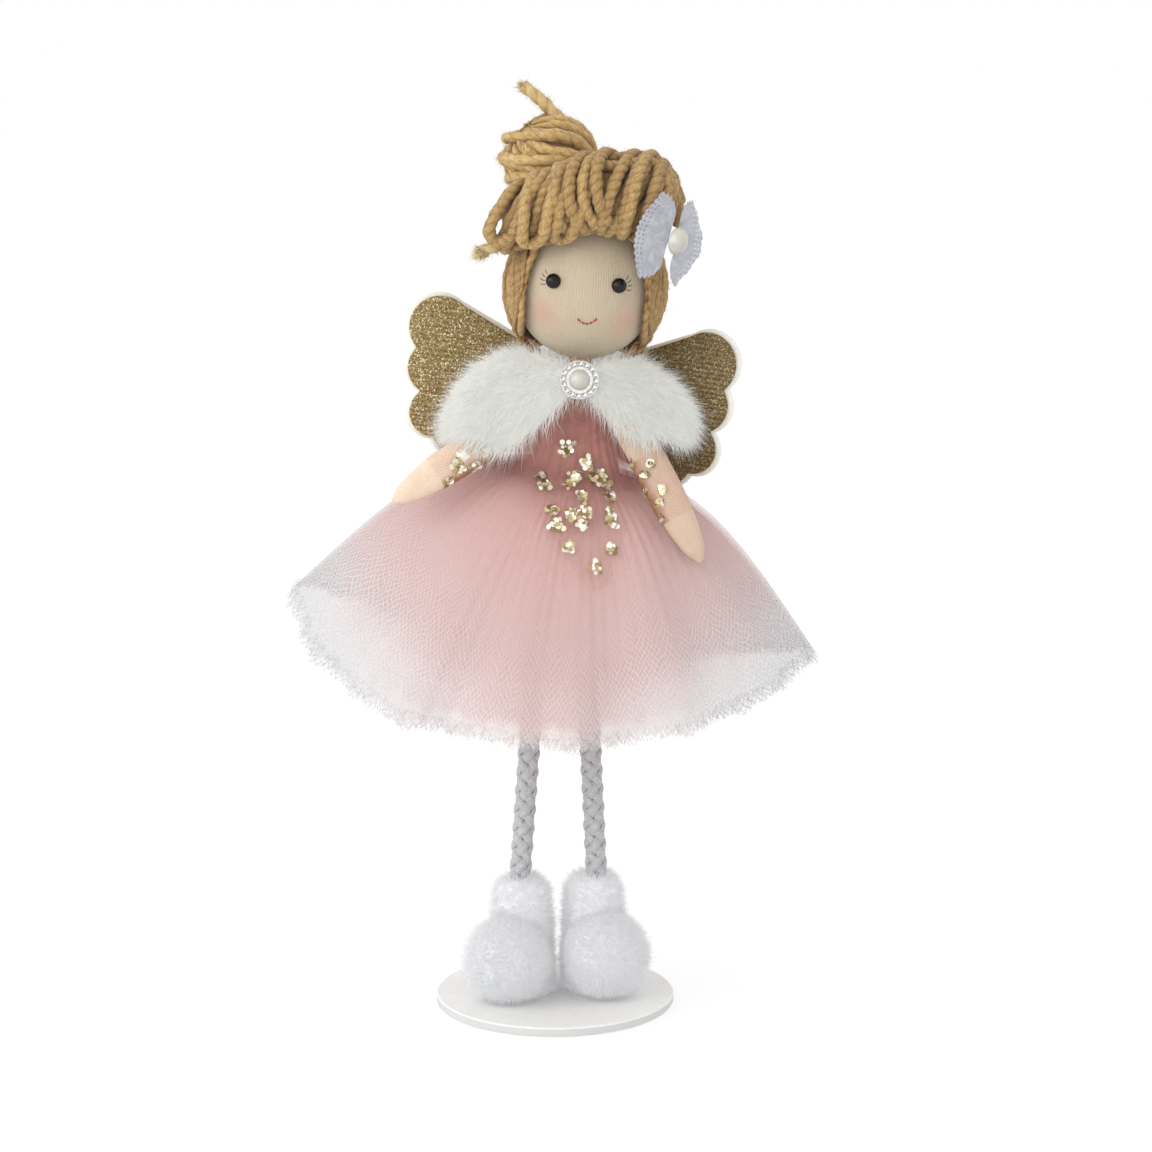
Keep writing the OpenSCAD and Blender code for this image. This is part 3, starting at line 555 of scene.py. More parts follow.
for side_name in ("left", "right"):
    low, high = (np.array(corner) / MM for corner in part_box("boot_" + side_name))
    shaft_middle = np.array(((low[0] + high[0]) / 2, (low[1] + high[1]) / 2, base_top))
    shaft_foot = (high[0] - low[0]) / 2 - pile_inset
    shaft_tall = high[2] - base_top - pile_inset
    shaft_top = shaft_foot - 1.2
    rounding = np.linspace(0.0, np.pi / 2, 14)
    crown = np.array((shaft_top, shaft_tall)) - crown_round * (1 - on_circle(rounding))
    crown_in = np.stack([np.linspace(shaft_top - crown_round, 0.0, 8)[1:], np.full(7, shaft_tall)], axis=1)
    wall_heights = np.linspace(sole_gap, shaft_tall - crown_round, 16)[:-1]
    wall_radii = np.interp(wall_heights, (0.0, shaft_tall), (shaft_foot, shaft_top))
    wall = np.stack([wall_radii, wall_heights], axis=1)
    shaft_profile = np.concatenate([[(0.0, sole_gap)], wall, crown, crown_in])
    shaft_rings = turned_form(shaft_profile, shaft_middle, 48)
    plush_form("boot_shaft_" + side_name, shaft_rings, "boot_" + side_name, shaft_hairs)

    low, high = (np.array(corner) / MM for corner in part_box("toe_" + side_name))
    toe_radius = (high[0] - low[0]) / 2
    toe_middle = np.array(((low[0] + high[0]) / 2, low[1] + toe_radius, base_top + toe_radius - toe_sunk))
    toe_profile = ball_outline(40) * (toe_radius - pile_inset)
    toe_profile[:, 1] = np.maximum(toe_profile[:, 1], base_top + sole_gap - toe_middle[2])
    toe_rings = turned_form(toe_profile, toe_middle, 56)
    plush_form("toe_pompom_" + side_name, toe_rings, "toe_" + side_name, toe_hairs)


# Stuffed body
# A plain cotton body, stuffed firm, that carries the dress. It swells at the hips, narrows at the
# waist and leans a little. Its places are given along the leaning spine, above the hips.
head_turn = next(joint for joint in frame["joints"] if joint["name"] == "head_turn")
spine = np.array(head_turn["axis"])
head_middle = np.array(head_turn["pos_m"]) / MM
across_body = np.array((spine[2], 0.0, -spine[0]))
head_height = 92.7


def on_spine(points):
    """Points across, behind and up the spine from the hips, in the doll's frame."""
    x, y, z = np.moveaxis(np.asarray(points, float)[..., None], -2, 0)
    behind = np.array((0.0, 1.0, 0.0))
    return head_middle + x * across_body + y * behind + (z - head_height) * spine


def smooth_through(stops, values, at):
    """Values on a smooth curve through the stops, a cubic with each stop's mean slope."""
    stops, values = np.asarray(stops, float), np.asarray(values, float)
    slope = np.gradient(values, stops)
    k = np.clip(np.searchsorted(stops, at) - 1, 0, len(stops) - 2)
    gap = stops[k + 1] - stops[k]
    t = (at - stops[k]) / gap
    ends = (1 + 2 * t) * (1 - t) ** 2 * values[k] + t * t * (3 - 2 * t) * values[k + 1]
    return ends + gap * t * (1 - t) * ((1 - t) * slope[k] - t * slope[k + 1])


body_heights = (-6, -2, 8, 24, 39, 45, 55, 59, 64, 67)
body_half_widths = (10, 13.4, 14.6, 13, 11.2, 10.8, 13.2, 13.6, 10.6, 6.5)
body_half_depths = (7.4, 9.6, 10.8, 10.4, 9.5, 9.3, 7.4, 7.2, 6.6, 5.4)


def body_rings(heights, grow, sides):
    """Ellipses round the body at those heights, wider than it by grow."""
    wide = (smooth_through(body_heights, body_half_widths, heights) + grow)[:, None]
    deep = (smooth_through(body_heights, body_half_depths, heights) + grow)[:, None]
    return around(wide, turns(sides), heights[:, None], deep)


def cloth_weave(tree, shader, dark, light, pitch, depth):
    """A plain weave: ridges both ways of the cloth coordinates make the bump, over a mottled colour."""
    mottled(tree, shader, dark, light, 300.0, 0.1)
    weave = maths(tree, "MULTIPLY", ridges(tree, pitch, "X"), ridges(tree, pitch, "Y"))
    tree.links.new(bumps(tree, weave, 0.6, depth), shader.inputs["Normal"])


calico, calico_tree, calico_shader = new_finish("cream_calico", 0.95)
cloth_weave(calico_tree, calico_shader, tone(214, 196, 172), tone(226, 210, 188), 0.5, 0.08)
torso_sides = 64
torso_low, torso_high = -5.9, 66.9
torso_rings = body_rings(np.linspace(torso_low, torso_high, 60), grow=0.0, sides=torso_sides)
torso_foot, torso_top = (around(0.0, turns(torso_sides), height)[None] for height in (-6.4, 67.2))
torso_rings = np.concatenate([torso_foot, torso_rings, torso_top])
torso_part = grid(on_spine(torso_rings)[None], True, 78.0, 74.0)
torso_piece = make_piece("stuffed_torso", [torso_part], calico, "stand_and_body", ["torso"])


# Waist band
# A narrow band of dusty pink net is gathered round the waist in close folds. It is stitched to the body,
# and the skirt hangs from it.

# Net: two sets of fine threads cross the cloth at a slant. The mask is 1 on a thread and 0 between.
net, net_in, net_out = shader_group("net", [("Pitch", "Float"), ("Thread", "Float"), ("Slant", "Float")],
                                    [("Mask", "Float"), ("Knot", "Float")])
net_cloth = cloth_of(net)
net_warp = put(net, "ShaderNodeTexNoise", {"Vector": net_cloth, "Scale": 0.16, "Detail": 2.0})
net_shift = put(net, "ShaderNodeVectorMath", {0: net_warp.outputs["Color"], "Scale": 2.4},
                operation="SCALE").outputs[0]
net_place = put(net, "ShaderNodeVectorMath", {0: net_cloth, 1: net_shift}, operation="ADD").outputs[0]
net_xyz = put(net, "ShaderNodeSeparateXYZ", {0: net_place}).outputs
net_slanted = maths(net, "MULTIPLY", net_xyz["Y"], net_in["Slant"])
net_sets = []
for net_way in ("ADD", "SUBTRACT"):
    net_phase = maths(net, "DIVIDE", maths(net, net_way, net_xyz["X"], net_slanted), net_in["Pitch"])
    net_from_thread = maths(net, "ABSOLUTE", maths(net, "SUBTRACT", maths(net, "FRACT", net_phase), 0.5))
    net_edge = maths(net, "SUBTRACT", net_in["Thread"], net_from_thread)
    net_sets.append(spread(net, net_edge, -0.05, 0.05))
net.links.new(maths(net, "MAXIMUM", *net_sets), net_out["Mask"])
net.links.new(maths(net, "MULTIPLY", *net_sets), net_out["Knot"])

bodice_finish, bodice_tree, bodice_shader = new_finish("dusty_net", 0.85, Sheen_Weight=0.15)
bodice_net = put(bodice_tree, "ShaderNodeGroup", {"Pitch": 0.9, "Thread": 0.12, "Slant": 0.8}, node_tree=net)
bodice_base = mottled(bodice_tree, bodice_shader, tone(126, 74, 63), tone(172, 113, 102), 520.0, 0.25)
bodice_low = shade_of(bodice_tree)
bodice_fade = colour_mix(bodice_tree, bodice_low, bodice_base, tone(194, 130, 122))
bodice_threads = maths(bodice_tree, "MULTIPLY", bodice_net.outputs["Mask"], 0.5)
tint(bodice_tree, bodice_shader, bodice_threads, bodice_fade, tone(206, 160, 154))
bodice_tree.links.new(spread(bodice_tree, bodice_low, 0.35, 0.97, 1.0, 0.0), bodice_shader.inputs["Alpha"])


def gathers(angle, count, depth):
    """How far gathered cloth stands out at each angle: close folds that fade and swell round the body."""
    return depth * np.cos(count * angle + 1.7 * np.sin(3 * angle)) * (0.75 + 0.25 * np.sin(5 * angle + 0.6))


band_low, band_high = 41.2, 46.5
band_off = 1.1
band_folds = 52
band_sides = 320
band_rows = 12
band_turn = turns(band_sides)
band_rings = body_rings(np.linspace(band_low, band_high, band_rows), grow=band_off, sides=band_sides)
band_swell = 0.4 * np.sin(np.linspace(0.0, np.pi, band_rows))[:, None]
band_push = gathers(band_turn, count=band_folds, depth=0.18) + band_swell
band_rings = band_rings + band_push[..., None] * around(1.0, band_turn, 0.0)
band_part = grid(on_spine(band_rings)[None], True, 150.0, 6.0)
band_piece = make_piece("gathered_waist_band", [band_part], bodice_finish, "stand_and_body", ["waist_band"])


# Net skirt
# Layers of soft pink net under layers of stiff white net, each a long strip gathered to the waist and
# cut raw at the hem. The strips flare out flat at the sides, fall steeply in front and droop at the left.
waist_height = 45.0
skirt_tilt = np.radians(4.0)
side_line = np.array(((13.0, 0.0), (35.5, 0.0), (49.7, -18.06), (71.0, -43.0)))
front_line = np.array(((11.5, 0.0), (20.02, -6.6), (37.96, -37.62), (52.0, -66.0)))
hem_droop = 9.0
droop_at = 217
droop_half = 28
hem_fold = 2.4
hem_folds = 14


def bezier(line, t):
    """Points of a cubic curve with those four control points."""
    t = t[..., None]
    return (line[0] * (1 - t) ** 3 + 3 * line[1] * t * (1 - t) ** 2
            + 3 * line[2] * t * t * (1 - t) + line[3] * t**3)


def bell(place, middle, width):
    """A smooth rise that is 1 at its middle and fades to 0 within about twice its width."""
    return np.exp(-(((place - middle) / width) ** 2))


def turned_by(first, second, angle):
    """Two coordinates of points, after a turn that carries the second towards the first."""
    return first * np.cos(angle) + second * np.sin(angle), second * np.cos(angle) - first * np.sin(angle)


def skirt_profile(angle, t):
    """Radius and height of the skirt: between the side's curve and the front's, with the droop taken off."""
    share = (np.abs(np.sin(angle)) ** 1.4)[..., None]
    line = bezier(side_line, t) * (1 - share) + bezier(front_line, t) * share
    line[..., 1] -= hem_droop * t * t * bell(np.degrees(angle) % 360, droop_at, droop_half)
    return line


def skirt_points(angle, t, off):
    """Points of the skirt at an angle round it and t from waist to hem, raised by off along its normal."""
    line = skirt_profile(angle, t)
    run = unit(skirt_profile(angle, t + 0.01) - skirt_profile(angle, t - 0.01))
    normal = np.stack([-run[..., 1], run[..., 0]], axis=-1)
    settle = np.clip(t / 0.2, 0.0, 1.0)[..., None]
    line = line + unit(np.array((0.0, 1.0)) * (1 - settle) + normal * settle) * off[..., None]
    waves = 0.4 * np.cos(hem_folds * angle) + 0.35 * np.cos(9 * angle + 0.8) + 0.25 * np.cos(5 * angle + 2.0)
    radius = line[..., 0] + hem_fold * t * t * waves
    x, z = turned_by(radius * np.cos(angle), line[..., 1], skirt_tilt)
    return on_spine(np.stack([x, radius * np.sin(angle), z + waist_height], axis=-1))


def net_finish(name, colours, thread_colour, pitch, thread, veil, thread_share, thread_alpha, fade):
    """Net whose threads stand on a thin veil. Colours and veil each list what holds at the waist, a
    third of the way down, at the front of the hem and at its sides. Fade gives the lengths of cloth
    between which the veil thins out to nothing at the hem."""
    finish, tree, shader = new_finish(name, 0.85, Sheen_Weight=0.1)
    down = shade_of(tree)
    group = put(tree, "ShaderNodeGroup", {"Pitch": pitch, "Thread": thread, "Slant": 0.72}, node_tree=net)
    cloud = noise(tree, place_of(tree), 60.0)
    colour, strength = colours[0], veil[0]
    for stop, low, high in ((1, 0.0, 0.26), (2, 0.26, 0.68), (3, 0.68, 0.92)):
        colour = colour_mix(tree, spread(tree, down, low, high), colour, colours[stop])
        more = spread(tree, down, low, high, 0.0, veil[stop] - veil[stop - 1])
        strength = maths(tree, "ADD", strength, more)
    contrast = spread(tree, down, 0.3, 0.9, 0.35 * thread_share, thread_share)
    threads = maths(tree, "MULTIPLY", group.outputs["Mask"], contrast)
    tint(tree, shader, threads, colour, thread_colour)
    cloudy = maths(tree, "MULTIPLY", strength, spread(tree, cloud, 0.3, 0.7, 0.9, 1.06))
    length = put(tree, "ShaderNodeSeparateXYZ", {0: cloth_of(tree)}).outputs["Y"]
    cloudy = maths(tree, "MULTIPLY", cloudy, spread(tree, length, fade[0], fade[1], 1.0, 0.0))
    crisp = spread(tree, down, 0.3, 0.9, 0.4 * thread_alpha, thread_alpha)
    seen = maths(tree, "MAXIMUM", cloudy, maths(tree, "MULTIPLY", group.outputs["Mask"], crisp))
    tree.links.new(seen, shader.inputs["Alpha"])
    return finish


skirt_columns = 720
skirt_rows = 46
skirt_strip = 348.0
skirt_cut = 74.0


def skirt_layer(name, off, hem, finish, pleats, pleat_depth, phase, node):
    """A gathered strip of net: fine pleats, deepest below the waist, die away towards the hem, which is
    cut a little unevenly. The colour and veil of the hem start higher up at the sides."""
    angle = turns(skirt_columns)
    down = np.linspace(1.0, 0.0, skirt_rows) ** 0.9
    ragged = 1.0 + 0.008 * np.sin(23 * angle + phase) + 0.006 * np.sin(61 * angle + 2 * phase)
    t = hem * down[:, None] * ragged
    wander = 1.1 * np.sin(4 * angle + phase) + 0.8 * np.sin(9 * angle + 2.0 * phase)
    swell = np.sin(np.pi * np.clip(t, 0.0, 1.0) ** 0.5) + 0.2
    strength = 0.6 + 0.4 * np.sin(7 * angle + 1.3 * phase)
    broad = 0.9 * t * np.sin(11 * angle + 2.2 * np.sin(2 * angle) + 1.1)
    pleat = pleat_depth * swell * strength * np.cos(pleats * angle + wander) + broad
    points = skirt_points(np.broadcast_to(angle, t.shape), t, off + pleat)
    strip = skirt_strip * hem**1.3
    faded = down[:, None] * (0.7 + 0.3 * np.abs(np.cos(angle)) ** 1.5)
    part = grid(points[None], True, strip, np.linspace(skirt_cut * hem, 0.0, skirt_rows), faded)
    made = make_piece(name, [part], finish, "stand_and_body", node)


blush = tone(220, 178, 173)
pink_tones = (tone(188, 124, 117), blush, tone(218, 186, 182), tone(224, 210, 209))
lining_net = net_finish("pink_lining_net", pink_tones, thread_colour=blush, pitch=1.1, thread=0.12,
                        veil=(0.98, 0.97, 0.95, 0.1), thread_share=0.2, thread_alpha=0.0,
                        fade=(0.78 * skirt_cut, 0.87 * skirt_cut))
pink_net = net_finish("pink_net", pink_tones, thread_colour=tone(234, 204, 200), pitch=1.3, thread=0.1,
                      veil=(0.85, 0.8, 0.94, 0.08), thread_share=0.4, thread_alpha=0.2,
                      fade=(0.925 * skirt_cut, 0.972 * skirt_cut))
white_tones = (tone(204, 150, 143), tone(222, 184, 179), tone(219, 200, 198), tone(192, 191, 193))
white_veil = (0.3, 0.2, 0.34, 0.3)
white_fade = (0.97 * skirt_cut, 0.995 * skirt_cut)
white_net = net_finish("white_net", white_tones, thread_colour=tone(198, 195, 197), pitch=1.35, thread=0.12,
                       veil=white_veil, thread_share=0.42, thread_alpha=0.85, fade=white_fade)
under_net = net_finish("white_under_net", white_tones, thread_colour=tone(196, 193, 195), pitch=0.9,
                       thread=0.12, veil=white_veil, thread_share=0.3, thread_alpha=0.3, fade=white_fade)
skirt_layer("skirt_lining_net", off=-2.8, hem=0.88, finish=lining_net, pleats=64, pleat_depth=0.12, phase=0.4,
            node=["skirt_lining"])
skirt_layer("skirt_pink_net", off=-1.4, hem=0.97, finish=pink_net, pleats=70, pleat_depth=0.2, phase=1.1,
            node=["skirt_inner"])
skirt_layer("skirt_white_under", off=-0.7, hem=0.99, finish=under_net, pleats=58, pleat_depth=0.25, phase=3.2,
            node=())
skirt_layer("skirt_white_net", off=0.0, hem=1.0, finish=white_net, pleats=66, pleat_depth=0.3, phase=2.3,
            node=["skirt_outer"])

frayed = plain_finish("frayed_net", 0.9, tone(208, 202, 202), tone(226, 220, 220), 300.0, 0.02)
fringe_count = 4200
fringe_dice = np.random.default_rng(71)
fringe_angle = fringe_dice.uniform(0.0, 2 * np.pi, fringe_count)
fringe_from = fringe_dice.uniform(0.955, 0.995, fringe_count)
fringe_off = fringe_dice.uniform(-1.2, 0.1, fringe_count)
fringe_roots = skirt_points(fringe_angle, fringe_from, fringe_off)
fringe_way = unit(skirt_points(fringe_angle, fringe_from + 0.02, fringe_off) - fringe_roots)
fringe_way = unit(fringe_way + 0.4 * fringe_dice.normal(size=fringe_way.shape))
fringe_bend = 0.25 * fringe_dice.normal(size=fringe_way.shape)
fringe_part = hairs(fringe_roots, fringe_way, fringe_bend, fringe_dice.uniform(0.8, 2.2, fringe_count),
                    np.full(fringe_count, 0.055), fringe_dice)
make_piece("skirt_fringe", [fringe_part], frayed, "stand_and_body", ())


# Bodice
# A wider strip of the dusty net is gathered under the fur, pulled down over the chest and spread over the
# top of the skirt, so that no seam shows at the waist.
bodice_top = 66.2
bodice_bend = 49.0
bodice_sides = 420
bodice_rows = 34
bodice_turn = turns(bodice_sides)


def bodice_surface(angle, share, off):
    """Points of the bodice at an angle round it: a curve from the chest, bent at the waist, to the skirt."""
    radial = around(1.0, angle, 0.0)
    fold = gathers(angle, count=46, depth=0.3) + gathers(angle + 0.7, count=27, depth=0.3)
    ragged = 0.19 + 0.012 * np.sin(19 * angle) + 0.009 * np.sin(47 * angle)
    chest, waist = (
        np.stack([np.interp(angle, bodice_turn, values, period=2 * np.pi) for values in ring.T], axis=-1)
        for ring in body_rings(np.array((bodice_top, bodice_bend)), grow=0.8, sides=bodice_sides))
    start = on_spine(chest + (0.2 * fold + off)[..., None] * radial)
    flare = np.maximum(2.5 - 4.0 * np.cos(angle), 1.0)
    bend = on_spine(waist + (0.5 * fold + off + flare)[..., None] * radial)
    hem = skirt_points(angle, ragged, 0.5 + 0.55 * fold + off)
    share = share[..., None]
    return start * (1 - share) ** 2 + 2 * share * (1 - share) * bend + share**2 * hem


bodice_down = np.linspace(1.0, 0.0, bodice_rows)[:, None]
bodice_points = bodice_surface(*np.broadcast_arrays(bodice_turn, bodice_down), 0.0)
bodice_part = grid(bodice_points[None], True, 170.0, np.linspace(32.0, 0.0, bodice_rows), bodice_down**1.5)
bodice_piece = make_piece("gathered_bodice", [bodice_part], bodice_finish, "stand_and_body", ["bodice"])


# Sequinned panel
# A pointed piece of fine mesh lies on the front of the dress, dotted with rounds of gold glitter. Each
# round is a drop of glue covered with small flat flakes.
gold_flake, flake_tree, flake_shader = new_finish("gold_flake", 0.22, Metallic=0.75)
# Each flake's shade is random: up to the middle it gives the flake its own tone, dull to gold, and above it
# paints the flake near white, a painted glint.
flake_shade = shade_of(flake_tree)
flake_dull = spread(flake_tree, flake_shade, 0.0, 0.45)
flake_low = colour_mix(flake_tree, flake_dull, tone(122, 104, 58), tone(206, 188, 142))
flake_painted_glint = spread(flake_tree, flake_shade, 0.45, 0.8)
tint(flake_tree, flake_shader, flake_painted_glint, flake_low, tone(255, 252, 238))
flake_noise = noise(flake_tree, place_of(flake_tree), 2500.0)
flake_tree.links.new(spread(flake_tree, flake_noise, 0.3, 0.7, 0.14, 0.34), flake_shader.inputs["Roughness"])

flake_dice = np.random.default_rng(23)
flakes_each = 12
flake_size = 0.8


def glitter_rounds(middles, facing, radius):
    """Six-sided flakes, each tilted its own way, heaped in a low round dome on each middle."""
    count = len(middles)
    spiral = np.sqrt((np.arange(flakes_each) + 0.5) / flakes_each)
    turn = np.arange(flakes_each) * 2.39996 + flake_dice.uniform(0.0, 6.28, (count, 1))
    first = unit(np.cross(facing, (0.31, 0.92, 0.17)))
    second = np.cross(facing, first)
    reach = radius[:, None] * spiral * flake_dice.uniform(0.75, 1.15, (count, flakes_each))
    place = (middles[:, None] + (reach * np.cos(turn))[..., None] * first[:, None]
             + (reach * np.sin(turn))[..., None] * second[:, None]
             + (0.35 * (1 - spiral**2) + 0.25)[:, None] * facing[:, None])
    tilt = unit(facing[:, None] + 0.3 * flake_dice.normal(size=place.shape))
    flake_first = unit(np.cross(tilt, first[:, None] + 0.3))
    flake_second = np.cross(tilt, flake_first)
    rim_turn = turns(6)[:, None]
    size = flake_size * flake_dice.uniform(0.65, 1.2, (count, flakes_each, 1, 1))
    rim = size * (np.cos(rim_turn) * flake_first[:, :, None] + np.sin(rim_turn) * flake_second[:, :, None])
    thick = np.array((0.0, 0.05))[:, None, None] * tilt[:, :, None, None]
    rings = (place[:, :, None, None] + rim[:, :, None] + thick).reshape(-1, 2, 6, 3)
    shade = np.repeat(flake_dice.random(count * flakes_each) ** 0.9, 2).reshape(-1, 2, 1)
    made = grid(rings, True, 1.0, 1.0, shade)
    lids = (np.arange(len(rings)) * 12)[:, None] + np.arange(6)
    made["faces"] += [lids + 6, lids[:, ::-1]]
    made["uv"] += [np.zeros((len(rings), 6, 2))] * 2
    return made


def panel_points(across, down, off):
    """Points of the panel: it narrows from its top, at the waist, to a point part way down the skirt."""
    angle = np.radians(277 + 11 * down + across * 50 * (1 - 0.92 * down))
    return skirt_points(angle, 0.05 + 0.5 * down + 0.0 * across, off + 0.0 * angle)


mesh_finish, mesh_tree, mesh_shader = new_finish("dotted_mesh", 0.7)
mesh_net = put(mesh_tree, "ShaderNodeGroup", {"Pitch": 0.8, "Thread": 0.11, "Slant": 1.0}, node_tree=net)
mesh_cloud = spread(mesh_tree, noise(mesh_tree, place_of(mesh_tree), 700.0), 0.35, 0.65)
mesh_low = shade_of(mesh_tree)
mesh_pale = colour_mix(mesh_tree, mesh_cloud, tone(190, 134, 118), tone(216, 172, 156))
mesh_brown = colour_mix(mesh_tree, mesh_cloud, tone(130, 82, 52), tone(176, 124, 86))
tint(mesh_tree, mesh_shader, mesh_low, mesh_pale, mesh_brown)
mesh_crisp = spread(mesh_tree, mesh_low, 0.0, 1.0, 0.3, 0.9)
mesh_threads = maths(mesh_tree, "MULTIPLY", mesh_net.outputs["Mask"], mesh_crisp)
mesh_veil = spread(mesh_tree, mesh_low, 0.0, 1.0, 0.0, 0.6)
mesh_tree.links.new(maths(mesh_tree, "MAXIMUM", mesh_threads, mesh_veil), mesh_shader.inputs["Alpha"])

panel_rows = 34
panel_columns = 44
panel_lift = 1.3
dot_lift = 1.4
panel_down = np.linspace(1.0, 0.0, panel_rows)[:, None]
panel_across = np.linspace(-1.0, 1.0, panel_columns)
panel_sheet = panel_points(panel_across, panel_down, panel_lift)
panel_part = grid(panel_sheet[None], False, 40.0, np.linspace(34.0, 0.0, panel_rows))
panel_piece = make_piece("sequin_panel_mesh", [panel_part], mesh_finish, "stand_and_body", ["sequin_net"])

dot_rows = (3, 4, 3, 4, 3, 2, 1)
dot_down = np.repeat(np.linspace(-0.02, 0.86, len(dot_rows)), dot_rows)
dot_across = np.concatenate([np.linspace(-0.75, 0.6, count) if count > 1 else np.zeros(1)
                             for count in dot_rows])
dot_across = dot_across + flake_dice.uniform(-0.16, 0.16, len(dot_across))
dot_down = dot_down + flake_dice.uniform(-0.045, 0.045, len(dot_down))
dot_middles = panel_points(dot_across, dot_down, dot_lift)
dot_facing = unit(panel_points(dot_across, dot_down, dot_lift + 1.0) - dot_middles)
chest_turn = np.radians(np.array((262.0, 284.0, 272.0, 296.0)))
chest_down = np.array((0.5, 0.62, 0.78, 0.8))
chest_middles = bodice_surface(chest_turn, chest_down, 0.5)
chest_facing = unit(bodice_surface(chest_turn, chest_down, 1.5) - chest_middles)
dot_middles = np.concatenate([dot_middles, chest_middles])
dot_facing = np.concatenate([dot_facing, chest_facing])
dot_radius = flake_dice.uniform(1.3, 2.3, len(dot_middles))
front_dots = make_piece("front_glitter_dots", [glitter_rounds(dot_middles, dot_facing, dot_radius)],
                        gold_flake, "stand_and_body", ["front_sequins"])
front_dots.data.shade_flat()


# Felt wings
# Each wing is cut from thick white felt with a scalloped outer edge and faced with ribbed gold glitter
# cloth, which stops short of the edge. The two are sewn to the back between the shoulders.
wing_long = 47.0
wing_thick = 3.0
wing_rim = 1.0
wing_roll = np.radians(3.0)
wing_sweep = {"left": np.radians(8.0), "right": np.radians(24.0)}
wing_seat = np.array((-1.5, 17.0, 59.6))
scallop_rounds = np.array(((0.815, 17.0, 0.19), (0.82, 5.5, 0.17), (0.795, -7.0, 0.155), (0.67, -12.0, 0.13)))
scallop_rounds = scallop_rounds * np.array((wing_long, 1.0, wing_long))
wing_corners = np.array(((1.0, -9.0), (0.63 * wing_long, -12 - 0.12 * wing_long), (0.75 * wing_long, -8.0),
                         (0.82 * wing_long, 5.5), (0.82 * wing_long, 17.0),
                         (0.74 * wing_long, 17 + 0.17 * wing_long), (0.32 * wing_long, 16.0), (1.0, 8.0)))
wing_heart = np.array((0.55 * wing_long, 2.5))


def wing_reach(angle, inset):
    """How far the wing's outline lies from its heart at each angle: the farthest of the straight edges
    and the scallops, less the inset."""
    way = on_circle(angle)
    start = wing_corners - wing_heart
    edge = np.roll(start, -1, axis=0) - start
    spread_out = way[:, None, 0] * edge[:, 1] - way[:, None, 1] * edge[:, 0]
    spread_out = np.where(np.abs(spread_out) < 1e-9, 1e-9, spread_out)
    distance = (start[:, 0] * edge[:, 1] - start[:, 1] * edge[:, 0]) / spread_out
    along = (start[:, 0] * way[:, None, 1] - start[:, 1] * way[:, None, 0]) / spread_out
    straight = np.where((along >= 0) & (along <= 1) & (distance > 0), distance, 0.0).max(axis=1)
    middle = scallop_rounds[:, :2] - wing_heart
    nearest = way @ middle.T
    beside = np.sum(middle**2, axis=1) - nearest**2
    room = scallop_rounds[:, 2] ** 2 - beside
    rounds = np.where(room > 0, nearest + np.sqrt(np.maximum(room, 0.0)), 0.0).max(axis=1)
    return np.maximum(straight, rounds) - inset


def wing_place(points, side, sweep):
    """Points along, through and up a wing, turned by its sweep and roll and set on the back."""
    x, y, z = np.moveaxis(points, -1, 0)
    swept_x, swept_y = turned_by(x, y, sweep)
    rolled_x, rolled_z = turned_by(side * swept_x, z, wing_roll)
    return on_spine(np.stack([rolled_x, swept_y, rolled_z], axis=-1) + wing_seat)


def wing_cushion(share, angle, front, back, inset):
    """A closed cushion over the outline: from the heart of its back face, round the edge, to its front."""
    reach = wing_reach(angle, inset)
    rings = wing_heart + (share[:, None] * reach)[..., None] * on_circle(angle)
    fall = np.sqrt(np.maximum(1.0 - share[:, None] ** 14, 0.0)) + 0.0 * reach
    middle = (front + back) / 2
    back_face, front_face = (
        np.stack([rings[..., 0], middle + (face - middle) * fall, rings[..., 1]], axis=-1)
        for face in (back, front))
    return np.concatenate([back_face, front_face[::-1][1:]])


felt = plain_finish("white_felt", 1.0, tone(222, 220, 208), tone(238, 236, 226), 900.0, 0.22,
                    Sheen_Weight=0.2)

# Glitter cloth: ribs along the wing, and small flakes that each tilt their own way. A share of the flakes
# is painted near white as painted glints, and the grooves between the ribs are darkened as painted shade.
glitter, glitter_tree, glitter_shader = new_finish("gold_glitter_cloth", 0.35)
glitter_cloth = cloth_of(glitter_tree)
glitter_cells = put(glitter_tree, "ShaderNodeTexVoronoi", {"Vector": glitter_cloth, "Scale": 3.2})
glitter_pick = put(glitter_tree, "ShaderNodeSeparateColor", {0: glitter_cells.outputs["Color"]}).outputs
glitter_rib = ridges(glitter_tree, 1.3, "Y")
glitter_dark = colour_mix(glitter_tree, glitter_pick["Red"], tone(112, 90, 48), tone(188, 164, 110))
glitter_painted_glint = spread(glitter_tree, glitter_pick["Green"], 0.84, 0.92)
glitter_gold = colour_mix(glitter_tree, glitter_painted_glint, glitter_dark, tone(252, 240, 206))
glitter_groove_shade = spread(glitter_tree, glitter_rib, -1.0, 0.0, 0.3, 0.0)
glitter_ribbed = colour_mix(glitter_tree, glitter_groove_shade, glitter_gold, tone(88, 70, 40))
# Painted shade: as the mesh's shade rises the cloth goes over to deep brown; the right wing has it.
tint(glitter_tree, glitter_shader, shade_of(glitter_tree), glitter_ribbed, tone(66, 44, 6))
glitter_metal = spread(glitter_tree, glitter_pick["Blue"], 0.2, 0.8, 0.1, 0.75)
glitter_tree.links.new(glitter_metal, glitter_shader.inputs["Metallic"])
glitter_wave = maths(glitter_tree, "MULTIPLY", glitter_rib, 0.5)
glitter_height = maths(glitter_tree, "ADD", glitter_wave, glitter_pick["Red"])
glitter_tree.links.new(bumps(glitter_tree, glitter_height, 0.9, 0.25), glitter_shader.inputs["Normal"])

